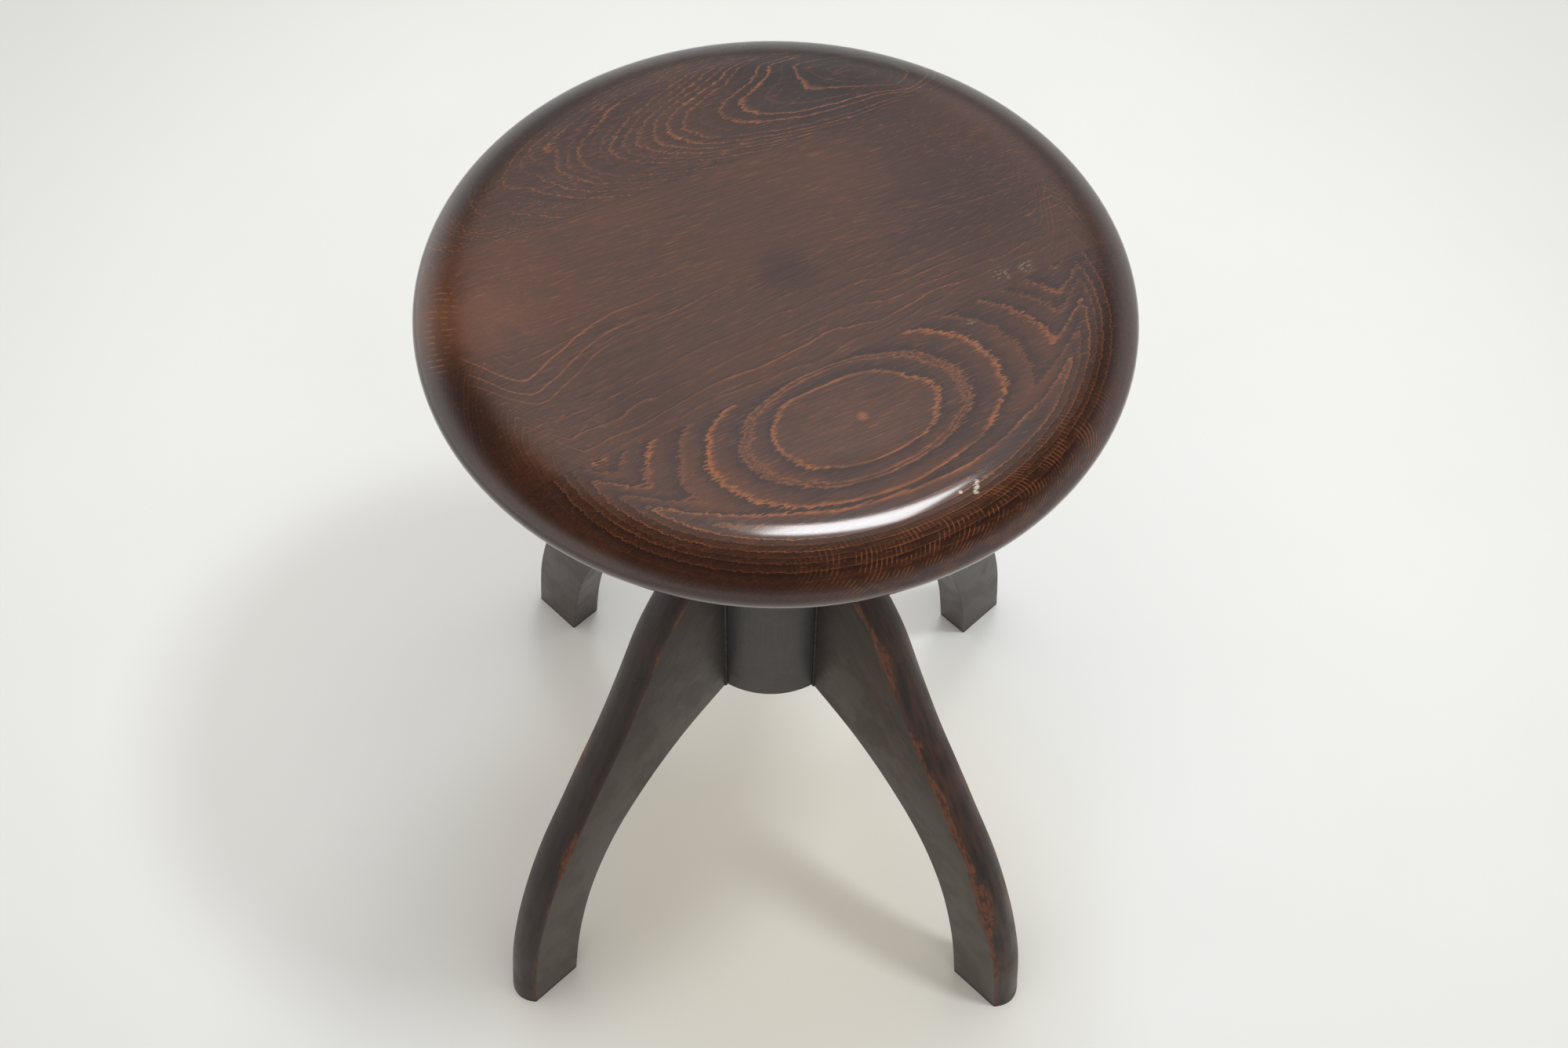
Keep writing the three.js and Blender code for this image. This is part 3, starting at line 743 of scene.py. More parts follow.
# %% Colour and polish the seat wood
STAIN_DARK = (0.020, 0.0070, 0.0034, 1)
STAIN_BROWN = (0.060, 0.0200, 0.0080, 1)
STAIN_WORN = (0.142, 0.0450, 0.0145, 1)
RING_ORANGE = (0.280, 0.0850, 0.0190, 1)
PORE_DARK = (0.012, 0.005, 0.003, 1)
CHIP_PALE = (0.30, 0.24, 0.18, 1)
NICK_PALE_AND_GLINT = (0.52, 0.47, 0.41, 1)
RIM_NICKS = (((90.7, -119.9), 2.2), ((91.0, -117.2), 1.8), ((90.5, -122.6), 1.8), ((83.5, -123.2), 1.4))
HEART_PLACE = (3.0, 0.0, SEAT_TOP - 3.0)
RIM_PAINTED_SHADE = (0.50, 0.44, 0.42, 1)
FAR_RIM_PAINTED_GREY = (0.68, 0.85, 0.95, 1)
# Painted shade on the rim: past the crest its colour is darkened, less on the left, where painted light lifts
# it, and greyed towards the back, standing in for the haze it reflects.
left_rim_light = soft_patch(tree, level, (-164, 0, 0), 72.0)
left_rim_unshaded = subtract(tree, 1.0, multiply(tree, left_rim_light, 0.9))
rim_shade_share = multiply(tree, ease(tree, from_axis, 147.0, 164.0), left_rim_unshaded)
to_back = ease(tree, subtract(tree, axes["Y"], multiply(tree, axes["X"], 0.5)), -60.0, 60.0)
base = mix_colours(tree, ease(tree, fibres["Streaks"], 0.0, 1.0, 0.16, 0.84), STAIN_DARK, STAIN_BROWN)
base = mix_colours(tree, multiply(tree, marks["Smudge"], 0.3), base, STAIN_BROWN)
base = mix_colours(tree, multiply(tree, warmth, 0.5), base, STAIN_WORN)
base = mix_colours(tree, multiply(tree, warm, 0.45), base, STAIN_WORN)
base = mix_colours(tree, dark, base, STAIN_DARK)
dark_part = ease(tree, tone, 0.0, PLAIN_TONE, 0.8, 0.0)
orange_part = ease(tree, tone, PLAIN_TONE, 1.0)
uneven = ease(tree, fibres["Streaks"], 0.0, 1.0, 0.6, 1.0)
slow_change = stretched_noise(tree, seat_place, (0.03, 0.03, 0.03), 2.0).outputs[0]
broken = ease(tree, slow_change, 0.34, 0.56, 0.4, 1.0)
orange_part = multiply(tree, multiply(tree, orange_part, uneven), broken)
heart = soft_patch(tree, board_places["front"], HEART_PLACE, 4.2)
heart = multiply(tree, heart, ease(tree, fibres["Streaks"], 0.2, 0.9, 0.3, 0.9))
orange_part = calculate(tree, "MAXIMUM", orange_part, heart)
base = mix_colours(tree, dark_part, base, STAIN_DARK)
base = mix_colours(tree, orange_part, base, RING_ORANGE)
veins = multiply(tree, veins, ease(tree, fibres["Streaks"], 0.0, 1.0, 0.3, 0.7))
base = mix_colours(tree, veins, base, RING_ORANGE)
fleck_share = multiply(tree, fibres["Flecks"], ease(tree, broken, 0.4, 1.0, 0.15, 0.4))
base = mix_colours(tree, fleck_share, base, RING_ORANGE)
base = mix_colours(tree, multiply(tree, fibres["Pores"], 0.5), base, PORE_DARK)
base = mix_colours(tree, multiply(tree, glue, 0.3), base, PORE_DARK)
base = mix_colours(tree, multiply(tree, marks["Dust"], 0.12), base, CHIP_PALE)
# Painted shade: the rim darkened; towards the back it is also greyed as painted haze.
base = mix_colours(tree, rim_shade_share, base, RIM_PAINTED_SHADE, "MULTIPLY")
base = mix_colours(tree, multiply(tree, rim_shade_share, to_back), base, FAR_RIM_PAINTED_GREY, "MULTIPLY")
base = mix_colours(tree, multiply(tree, ticks, 0.42), base, RING_ORANGE)
base = mix_colours(tree, multiply(tree, chips, 0.4), base, CHIP_PALE)
# Real nicks in the lacquer on the near rim, painted extra pale as a painted highlight where they sit in the
# bright streak.
rim_nick_glint = 0.0
for centre, radius in RIM_NICKS:
    rim_nick_glint = calculate(tree, "MAXIMUM", rim_nick_glint, soft_patch(tree, level, (*centre, 0), radius))
rim_nick_glint = multiply(tree, rim_nick_glint, ease(tree, chip_noise, 0.40, 0.50))
base = mix_colours(tree, rim_nick_glint, base, NICK_PALE_AND_GLINT)
roughness = ease(tree, marks["Smudge"], 0.0, 1.0, 0.38, 0.48)
roughness = add(tree, roughness, multiply(tree, marks["Scratch"], 0.1))
roughness = add(tree, roughness, multiply(tree, chips, 0.3))
height = subtract(tree, multiply(tree, orange_part, 0.25), fibres["Pores"])
height = add(tree, height, multiply(tree, fibres["Streaks"], 0.35))
height = subtract(tree, height, multiply(tree, marks["Scratch"], 0.4))
height = subtract(tree, height, multiply(tree, chips, 1.5))
finish_shader(tree, shader, base, roughness, height, 0.25, 0.00012)
shader.inputs["IOR"].default_value = 1.5
shader.inputs["Specular IOR Level"].default_value = 0.15
shader.inputs["Coat Weight"].default_value = 1.0
shader.inputs["Coat Roughness"].default_value = 0.10
print("seat wood nodes:", len(tree.nodes))

# %% [markdown]
# ## Turn the seat
# On the real stool the glued blank was turned on a lathe: flat below, a thick rounded rim, and a shallow
# dish on top. One outline gives all of it, spun in small steps so that its edge looks round up close.

# %% Turn the seat
SEAT_UNDERSIDE = 458.0
RIM_MIDDLE = (SEAT_TOP + SEAT_UNDERSIDE) / 2
RIM_HALF = (SEAT_TOP - SEAT_UNDERSIDE) / 2
DISH_SLOPE = 38.0
DISH_DEPTH = 3.0
UNDER_WIDTH = 28.0
LATHE_STEPS = 144
under = quarter_round((SEAT_RADIUS - UNDER_WIDTH, RIM_MIDDLE), (UNDER_WIDTH, RIM_HALF), -90, 0, 14)
over = quarter_round((CREST_RADIUS, RIM_MIDDLE), (SEAT_RADIUS - CREST_RADIUS, RIM_HALF), 0, 90, 16)
DISH_STEPS = 14
dish = [
    (CREST_RADIUS - DISH_SLOPE * i / DISH_STEPS,
     SEAT_TOP - DISH_DEPTH * (1 - math.cos(math.pi * i / DISH_STEPS)) / 2)
    for i in range(1, DISH_STEPS + 1)
]
flat = [(48.0, SEAT_TOP - DISH_DEPTH), (0.0, SEAT_TOP - DISH_DEPTH)]
seat_outline = [(0.0, SEAT_UNDERSIDE), (80.0, SEAT_UNDERSIDE)] + under + over[1:] + dish + flat
seat = turned_piece("lacquered_seat", seat_outline, LATHE_STEPS)
place_on(seat, "seat", "seat_wood", seat_wood, "seat")

# %% [markdown]
# ## Cut holes
# Screws, pins and dowels sit in real holes. A cutter of the hole's shape is made at its place and taken
# away from the piece with an applied Boolean modifier, as a drill would do it.

# %% Define the drill
def cut_away(piece, *cutters, operation="DIFFERENCE"):
    """Takes the cutters' shapes out of the piece, or adds them to it, and removes the cutters."""
    for cutter in cutters:
        apply_modifier(piece, "BOOLEAN", operation=operation, solver="EXACT", object=cutter)
        mesh = cutter.data
        bpy.data.objects.remove(cutter)
        bpy.data.meshes.remove(mesh)


def smooth_again(piece, angle=35):
    """Smooths the shading afresh after a piece was cut."""
    pick(piece)
    bpy.ops.object.shade_smooth_by_angle(angle=math.radians(angle))


def set_down(piece, turn=(0, 0, 0), place=(0, 0, 0)):
    """Turns a piece and moves it, with the result in its mesh. Angles in degrees, places in millimetres."""
    pick(piece)
    piece.rotation_euler = [math.radians(angle) for angle in turn]
    piece.location = Vector(place) * MM
    bpy.ops.object.transform_apply(location=True, rotation=True, scale=True)


FIT_GAP = 0.3
PAST = 5.0
SCREW_HEAD, SCREW_SHANK, SCREW_SINK = 5.0, 2.5, 3.0


def bar_cutter(radius, start, end):
    """A plain drill along Z."""
    return turned_piece("bar_cutter", [(0, start), (radius, start), (radius, end), (0, end)], 32)


def screw_cutters(length, circle, face, upside_down=False):
    """Drills for a ring of four countersunk screws whose heads lie just below a face."""
    head, shank, head_height = (size + FIT_GAP for size in (SCREW_HEAD, SCREW_SHANK, SCREW_SINK))
    cutters = []
    for i in range(4):
        angle = math.pi / 2 * i
        cutter = turned_piece("screw_cutter", [
            (0, -length), (shank, -length), (shank, -head_height), (head, -FIT_GAP), (head, PAST),
            (0, PAST)], 24)
        set_down(cutter, (180 if upside_down else 0, 0, 0),
                 (circle / 2 * math.cos(angle), circle / 2 * math.sin(angle), face))
        cutters.append(cutter)
    return cutters


print("drill ready")

# %% [markdown]
# ## Ebonised wood
# The hub and legs are beech stained black, with a satin finish. The stain is thin, so brown shows
# through, and it has worn to bare orange-brown wood along the sharp edges of the legs, most of all on the
# front right one. A thin brown halo lies beside each bare spot, and a few nicks are black with dirt. The
# leg's own map gives the distance from that edge, so the wear follows the curve. Painted shade darkens the
# corners between legs and hub, and the hub's finish and the legs' share one helper for it. Some light is
# painted too: a grey sheen on the hub, a cool sheen on the outer faces of the front-left legs, and the
# legs' sides lighter near the floor and darker up under the seat.

# %% Group for wear along an edge
edge_group, given, wanted = make_group(
    "Worn Edge",
    [
        ("NodeSocketFloat", "Distance", 0.0),
        ("NodeSocketVector", "Vector", None),
        ("NodeSocketFloat", "Width", 2.0),
        ("NodeSocketFloat", "Amount", 0.5),
    ],
    [("NodeSocketFloat", "Bare"), ("NodeSocketFloat", "Halo")],
)
tree = edge_group
patches = stretched_noise(tree, given["Vector"], (0.035, 0.25, 0.25), 5.0, 0.7)
contrast = multiply(tree, subtract(tree, patches.outputs[0], 0.5), 1.9)
reach = add(tree, contrast, subtract(tree, given["Amount"], 0.45))
reach = multiply(tree, calculate(tree, "MAXIMUM", reach, 0.0), given["Width"])
reach = multiply(tree, reach, 4.0)
near = subtract(tree, reach, calculate(tree, "ABSOLUTE", given["Distance"]))
feed(tree, wanted["Bare"], ease(tree, near, -0.4, 1.0))
feed(tree, wanted["Halo"], ease(tree, near, -3.5, 2.0))
print("worn edge group nodes:", len(tree.nodes))

# %% Define the black stain
WORN_SPOTS = (
    ((-103, -90, 190), 15, 0.45), ((-108, -124, 140), 36, 0.25), ((122, -137, 100), 42, 0.5),
    ((100, -115, 172), 44, 0.25), ((58, -72, 270), 30, 0.2),
)
NICKS = (
    ((-104, -91, 188), 7), ((-68, -80, 252), 9), ((126, -141, 92), 9), ((-113, -135, 103), 6),
    ((72, -70, 262), 7),
)
BLACK_DEEP, BLACK_THIN = (0.0150, 0.0100, 0.0082, 1), (0.038, 0.0235, 0.0170, 1)
BLACK_RUBBED = (0.042, 0.029, 0.023, 1)
HUB_PAINTED_SHEEN = (0.078, 0.076, 0.079, 1)
CORNER_PAINTED_SHADE = (0.009, 0.009, 0.010, 1)
DIRT_BLACK = (0.006, 0.005, 0.005, 1)
DUST_GREY = (0.30, 0.27, 0.24, 1)
SCRATCH_BROWN = (0.17, 0.12, 0.09, 1)
LOW_SIDE_PAINTED_LIGHT = (0.062, 0.048, 0.041, 1)
BROWN_DEEP, BROWN_THIN = (0.0095, 0.0058, 0.0050, 1), (0.050, 0.0185, 0.0100, 1)
COOL_PAINTED_SHEEN = (0.010, 0.010, 0.0115, 1)
BAND_BLACK = (0.009, 0.008, 0.008, 1)
HALO_BROWN = (0.075, 0.027, 0.012, 1)
BARE_ORANGE, BARE_BROWN = (0.115, 0.038, 0.015, 1), (0.045, 0.018, 0.010, 1)
NICK_BLACK = (0.005, 0.004, 0.004, 1)


def black_stain(tree, place, grain_place):
    """The thin black stain that hub and legs share. Returns its colour, masks, roughness and height."""
    fibres = use_group(tree, fibre_group, {"Vector": grain_place, "Fineness": 1.4})
    marks = use_group(tree, use_marks, {"Vector": place, "Size": 28.0})
    base = mix_colours(tree, fibres["Streaks"], BLACK_DEEP, BLACK_THIN)
    base = mix_colours(tree, multiply(tree, marks["Smudge"], 0.5), base, BLACK_RUBBED)
    roughness = ease(tree, marks["Smudge"], 0.0, 1.0, 0.33, 0.46)
    height = subtract(tree, multiply(tree, fibres["Streaks"], 0.6), fibres["Pores"])
    return base, fibres, marks, roughness, height


def add_dirt(tree, base, fibres, marks):
    """Black pores, pale dust and brown scratches over a colour."""
    base = mix_colours(tree, multiply(tree, fibres["Pores"], 0.6), base, DIRT_BLACK)
    base = mix_colours(tree, multiply(tree, marks["Dust"], 0.25), base, DUST_GREY)
    return mix_colours(tree, multiply(tree, marks["Scratch"], 0.22), base, SCRATCH_BROWN)


def leg_directions(tree, axes):
    """How far a place lies to the front right, and how far it is off each pair of legs."""
    to_front_right = subtract(tree, axes["X"], axes["Y"])
    to_back_right = add(tree, axes["X"], axes["Y"])
    unsigned = [calculate(tree, "ABSOLUTE", way) for way in (to_front_right, to_back_right)]
    return to_front_right, unsigned


print("ebonised wood helpers ready")

# %% Finish the hub's wood
hub_finish, tree, shader = new_material("ebonised hub", (0.03, 0.025, 0.023, 1))
place = object_place(tree)
base, fibres, marks, roughness, height = black_stain(tree, place, turned_place(tree, place, (0, 90, 0)))
# Painted reflection: the hub's colour is lifted half way to a cool grey, as the sheen of the pale room on it.
base = mix_colours(tree, 0.5, base, HUB_PAINTED_SHEEN)
base = add_dirt(tree, base, fibres, marks)
to_front_right, unsigned = leg_directions(tree, axes_of(tree, place))
off_leg = calculate(tree, "MINIMUM", *unsigned)
# Painted shade in the corners next to the legs.
base = mix_colours(tree, ease(tree, off_leg, 15.0, 32.0, 0.85, 0.0), base, CORNER_PAINTED_SHADE)
finish_shader(tree, shader, base, roughness, height, 0.3, 0.00012)
shader.inputs["Specular IOR Level"].default_value = 0.30
print("ebonised hub nodes:", len(tree.nodes))

# %% Stain the legs' wood
leg_finish, tree, shader = new_material("ebonised leg", (0.03, 0.025, 0.023, 1))
place = object_place(tree)
leg_map = add_node(tree, "ShaderNodeUVMap", uv_map="leg_map").outputs[0]
from_edge = axes_of(tree, leg_map)["Y"]
base, fibres, marks, roughness, height = black_stain(tree, place, leg_map)
base = add_dirt(tree, base, fibres, marks)
axes = axes_of(tree, place)
to_front_right, unsigned = leg_directions(tree, axes)
off_hub = calculate(tree, "MAXIMUM", *unsigned)
# Painted shade where the legs meet the hub.
base = mix_colours(tree, ease(tree, off_hub, 66.0, 86.0, 0.6, 0.0), base, CORNER_PAINTED_SHADE)
on_outer = ease(tree, from_edge, -0.8, 0.4, 1.0, 0.0)
# Painted light and shade: the sides of the legs are lightened towards the floor and left darker up under the
# seat.
low_side_light = multiply(tree, ease(tree, axes["Z"], 260.0, 60.0, 0.0, 0.85), subtract(tree, 1.0, on_outer))
base = mix_colours(tree, low_side_light, base, LOW_SIDE_PAINTED_LIGHT)
brown_grain = ease(tree, stretched_noise(tree, leg_map, (0.03, 0.22, 0.22), 5.0).outputs[0], 0.36, 0.66)
brown = mix_colours(tree, brown_grain, BROWN_DEEP, BROWN_THIN)
brown_share = multiply(tree, on_outer, ease(tree, to_front_right, -40.0, 200.0, 0.3, 0.9))
brown_side = multiply(tree, ease(tree, to_front_right, 60.0, 160.0, 0.0, 0.7),
                      ease(tree, axes["Z"], 110.0, 220.0))
# Painted reflection: the outer faces of the legs towards the front left get a cool dark tint for their bluish
# sheen.
cool_sheen_share = multiply(tree, on_outer, ease(tree, to_front_right, 60.0, 0.0, 0.0, 0.6))
base = mix_colours(tree, cool_sheen_share, base, COOL_PAINTED_SHEEN)
base = mix_colours(tree, calculate(tree, "MAXIMUM", brown_share, brown_side), base, brown)
print("stained leg nodes:", len(tree.nodes))

# %% Wear the legs' edges
amount = ease(tree, to_front_right, -150.0, 220.0, 0.30, 0.58)
for centre, radius, more in WORN_SPOTS:
    amount = add(tree, amount, soft_patch(tree, place, centre, radius, 0.2, more))
beside = calculate(tree, "ABSOLUTE", add(tree, from_edge, 2.6))
base = mix_colours(tree, ease(tree, beside, 0.4, 1.6, 0.45, 0.0), base, BAND_BLACK)
leg_shift = add_node(tree, "ShaderNodeCombineXYZ", {"Z": multiply(tree, to_front_right, 0.2)}).outputs[0]
wear_place = add_node(tree, "ShaderNodeVectorMath", {0: leg_map, 1: leg_shift}, operation="ADD").outputs[0]
wear = use_group(tree, edge_group, {"Distance": from_edge, "Vector": wear_place, "Amount": amount})
halo = multiply(tree, multiply(tree, wear["Halo"], on_outer), 0.5)
base = mix_colours(tree, halo, base, HALO_BROWN)
flames = ease(tree, stretched_noise(tree, leg_map, (0.16, 0.55, 0.55), 3.0).outputs[0], 0.46, 0.60)
base = mix_colours(tree, wear["Bare"], base, mix_colours(tree, flames, BARE_ORANGE, BARE_BROWN))
# The last few millimetres of each foot, just above the floor, are darkened.
base = mix_colours(tree, ease(tree, axes["Z"], 1.2, 3.2, 0.8, 0.0), base, DIRT_BLACK)
nicks = 0.0
for centre, radius in NICKS:
    nicks = calculate(tree, "MAXIMUM", nicks, soft_patch(tree, place, centre, radius, 0.3))
cracks = ease(tree, stretched_noise(tree, place, (0.25, 0.25, 0.9), 2.0).outputs[0], 0.54, 0.60)
nicks = multiply(tree, nicks, cracks)
base = mix_colours(tree, multiply(tree, nicks, 0.85), base, NICK_BLACK)
roughness = add(tree, roughness, multiply(tree, wear["Bare"], 0.12))
height = subtract(tree, height, multiply(tree, wear["Bare"], 0.8))
height = subtract(tree, height, multiply(tree, nicks, 4.0))
finish_shader(tree, shader, base, roughness, height, 0.3, 0.00012)
shader.inputs["Specular IOR Level"].default_value = 0.30
print("ebonised leg nodes:", len(tree.nodes))

# %% [markdown]
# ## Turn the hub
# The hub is a plain turned cylinder, bored through for the screw, with its edges just eased.

# %% Turn the hub and bore it
HUB_RADIUS = 46.5
HUB_UNDERSIDE = 184.0
HUB_TOP = 318.0
HUB_EDGE = 1.5
HUB_BORE = 22.0
hub_outline = (
    [(HUB_BORE, HUB_UNDERSIDE)]
    + quarter_round((HUB_RADIUS - HUB_EDGE, HUB_UNDERSIDE + HUB_EDGE), (HUB_EDGE, HUB_EDGE), -90, 0, 5)
    + quarter_round((HUB_RADIUS - HUB_EDGE, HUB_TOP - HUB_EDGE), (HUB_EDGE, HUB_EDGE), 0, 90, 5)
    + [(HUB_BORE, HUB_TOP)]
)
NUT_TOP = 323.3
NUT_SCREW_CIRCLE = 62.0
NUT_SCREW_DEPTH = 25.6
DOWEL_HEIGHTS = (217.5, 285.84)
DOWEL_RADIUS = 5.0
DOWEL_START = 28.5
DOWEL_END = 70.5
LEG_TURNS = {"front_right": -45, "back_right": 45, "back_left": 135, "front_left": -135}


def dowel_cutters(angle):
    """Drills for the two dowels of one leg, from inside the hub to inside the leg."""
    cutters = []
    for height in DOWEL_HEIGHTS:
        cutter = bar_cutter(DOWEL_RADIUS + FIT_GAP, DOWEL_START - FIT_GAP, DOWEL_END + FIT_GAP)
        set_down(cutter, (0, 90, 0), (0, 0, height))
        set_down(cutter, (0, 0, angle))
        cutters.append(cutter)
    return cutters


hub = turned_piece("ebonised_hub", hub_outline, 96, closed=True)
cut_away(hub, *screw_cutters(NUT_SCREW_DEPTH, NUT_SCREW_CIRCLE, NUT_TOP))
for angle in LEG_TURNS.values():
    cut_away(hub, *dowel_cutters(angle))
smooth_again(hub)
place_on(hub, "base", "frame_wood", hub_finish, "hub")

# %% [markdown]
# ## Saw the legs
# Each leg was sawn from a board in an S, then its outer face was rounded. Here the two sawn edges are
# drawn as smooth curves with the same stations as the CAD, bridged into a flat strip, and given their
# thickness with Solidify. Rows of points across the outer face are then pushed out into the crown.

# %% Draw the two sawn edges
OUTER_EDGE = ((0, 1), (.084, .990), (.160, .963), (.273, .890), (.367, .794), (.473, .690), (.586, .597),
              (.681, .516), (.777, .435), (.855, .348), (.926, .242), (.975, .129), (1, 0))
INNER_EDGE = ((0, 1), (.265, .913), (.502, .793), (.700, .647), (.852, .457), (.950, .228), (1, 0))
FOOT_REACH = 206.0
FOOT_INNER = 173.0
LEG_TOP = 310.0
LEG_STATIONS = 48
FINE_STEPS = 3000
BELOW_FLOOR = 9.5


def curve_point(points, share):
    """A point on the smooth curve that passes through all the given points."""
    spot = share * (len(points) - 1)
    start = min(int(spot), len(points) - 2)
    t = spot - start
    before, here, there, after = (points[min(max(start + i, 0), len(points) - 1)] for i in (-1, 0, 1, 2))
    leave, arrive = (there - before) / 2, (after - here) / 2
    return (here + leave * t + (3 * (there - here) - 2 * leave - arrive) * t ** 2
            + (2 * (here - there) + leave + arrive) * t ** 3)


def sawn_edge(shares, reach, top):
    """Evenly spaced points along an edge, with one more inside the hub and one below the floor."""
    points = [Vector((HUB_RADIUS + out * (reach - HUB_RADIUS), 0, up * top)) for out, up in shares]
    fine = [curve_point(points, i / FINE_STEPS) for i in range(FINE_STEPS + 1)]
    lengths = [0.0]
    for here, there in zip(fine, fine[1:]):
        lengths.append(lengths[-1] + (there - here).length)
    stations, at = [], 0
    for i in range(LEG_STATIONS + 1):
        while lengths[at] < lengths[-1] * i / LEG_STATIONS - 0.001:
            at += 1
        stations.append(fine[at])
    return ([stations[0] - Vector((HUB_RADIUS / 2, 0, 0))] + stations
            + [stations[-1] - Vector((0, 0, BELOW_FLOOR))])


outer_edge = sawn_edge(OUTER_EDGE, FOOT_REACH, LEG_TOP)
inner_edge = sawn_edge(INNER_EDGE, FOOT_INNER, HUB_UNDERSIDE)
print("stations on each edge:", len(outer_edge), len(inner_edge))

# %% Bridge the edges and give the board its thickness
LEG_THICKNESS = 21.0
leg = start_piece("leg_blank")
draw_outline([point * MM for point in outer_edge])
bpy.ops.mesh.primitive_plane_add(size=1.0, location=(0, 0, 0))
bpy.ops.mesh.merge(type="COLLAPSE")
draw_outline([point * MM for point in inner_edge])
bpy.ops.mesh.select_all(action="SELECT")
bpy.ops.mesh.bridge_edge_loops()
bpy.ops.object.mode_set(mode="OBJECT")
apply_modifier(leg, "SOLIDIFY", thickness=LEG_THICKNESS * MM, offset=0.0)
print("strip faces:", len(leg.data.polygons))

# %% Round the outer face
LEG_CROWN = 4.5
CROWN_ROWS = (0.93, 0.8, 0.62, 0.42, 0.2, 0.0)
half_board = LEG_THICKNESS / 2
outer_spots = {(round(p.x, 1), round(p.z, 1)) for p in outer_edge}


def select_vertices(piece, wanted):
    """Selects the vertices that pass a test, in edit mode."""
    bpy.ops.object.mode_set(mode="EDIT")
    bpy.ops.mesh.select_mode(type="VERT")
    bpy.ops.mesh.select_all(action="DESELECT")
    bpy.ops.object.mode_set(mode="OBJECT")
    for vertex in piece.data.vertices:
        vertex.select = wanted(vertex)
    bpy.ops.object.mode_set(mode="EDIT")


bpy.ops.object.mode_set(mode="EDIT")
for row in sorted({*CROWN_ROWS, *(-row for row in CROWN_ROWS)}):
    bpy.ops.mesh.select_all(action="SELECT")
    bpy.ops.mesh.bisect(plane_co=(0, row * half_board * MM, 0), plane_no=(0, 1, 0))
bpy.ops.mesh.select_all(action="SELECT")
bpy.ops.mesh.normals_make_consistent(inside=False)
bpy.ops.object.mode_set(mode="OBJECT")
outer_points = {v.index for v in leg.data.vertices
                if (round(v.co.x / MM, 1), round(v.co.z / MM, 1)) in outer_spots}
raised = 0.0
for row in CROWN_ROWS:
    inside_row = row * half_board * MM + SAME_POINT
    select_vertices(leg, lambda vertex: vertex.index in outer_points and abs(vertex.co.y) < inside_row)
    crown_here = LEG_CROWN * (1 - row ** 2)
    bpy.ops.transform.shrink_fatten(value=(crown_here - raised) * MM)
    raised = crown_here
bpy.ops.object.mode_set(mode="OBJECT")
print("leg reach:", round(max(v.co.x for v in leg.data.vertices) / MM, 2))

# %% Ease the edges, and cut the leg to the hub and the floor
HUB_GAP = HUB_RADIUS + FIT_GAP
EDGE_ROUND = 0.9
SHARP_ANGLE = math.radians(30)
apply_modifier(leg, "BEVEL", width=EDGE_ROUND * MM, segments=3, limit_method="ANGLE", angle_limit=SHARP_ANGLE)
cut_away(leg, turned_piece("hub_cutter", [(0, 150), (HUB_GAP, 150), (HUB_GAP, 340), (0, 340)], 96))
bpy.ops.object.mode_set(mode="EDIT")
bpy.ops.mesh.select_all(action="SELECT")
bpy.ops.mesh.bisect(plane_co=(0, 0, 0), plane_no=(0, 0, 1), use_fill=True, clear_inner=True)
bpy.ops.object.mode_set(mode="OBJECT")
cut_away(leg, *dowel_cutters(0))
print("cut leg faces:", len(leg.data.polygons))

# %% Map the leg for its grain and wear
edge_lengths = [0.0]
for here, there in zip(outer_edge, outer_edge[1:]):
    edge_lengths.append(edge_lengths[-1] + (there - here).length)


def place_on_edge(point):
    """How far along the outer edge a point is, and how far from it."""
    best = None
    for i, (here, there) in enumerate(zip(outer_edge, outer_edge[1:])):
        step = there - here
        share = min(max((point - here).dot(step) / step.length_squared, 0.0), 1.0)
        away = (point - here - step * share).length
        if best is None or away < best[1]:
            best = (edge_lengths[i] + share * step.length, away)
    return best


leg_map = leg.data.uv_layers.new(name="leg_map")
flat_spots = [place_on_edge(Vector((v.co.x, 0, v.co.z)) / MM) for v in leg.data.vertices]
for face in leg.data.polygons:
    on_side = abs(face.normal.y) > 0.8
    on_inside = min(flat_spots[v][1] for v in face.vertices) > LEG_CROWN + 4
    for loop in face.loop_indices:
        vertex = leg.data.loops[loop].vertex_index
        along, away = flat_spots[vertex]
        across = abs(leg.data.vertices[vertex].co.y) / MM - half_board
        leg_map.data[loop].uv = (along, away if on_side or on_inside else across)
print("mapped corners:", len(leg_map.data))

# %% Stand the four legs
smooth_again(leg, 28)
for side, angle in LEG_TURNS.items():
    standing = leg.copy()
    standing.data = leg.data.copy()
    standing.name = "curved_leg_" + side
    standing.data.name = standing.name
    bpy.context.scene.collection.objects.link(standing)
    set_down(standing, turn=(0, 0, angle))
    place_on(standing, "base", "frame_wood", leg_finish, "leg_" + side)
blank = leg.data
bpy.data.objects.remove(leg)
bpy.data.meshes.remove(blank)
print("legs:", ", ".join(LEG_TURNS))

# %% [markdown]
# ## Fill the corners between legs and hub
# Stain and old glue fill the corner where each leg meets the hub, as a thin dark bead. It follows the
# outline of the leg's end, so that outline is copied from the leg and given a round section. Its finish
# is dull, black and a little lumpy, as glue that dried with dirt in it.

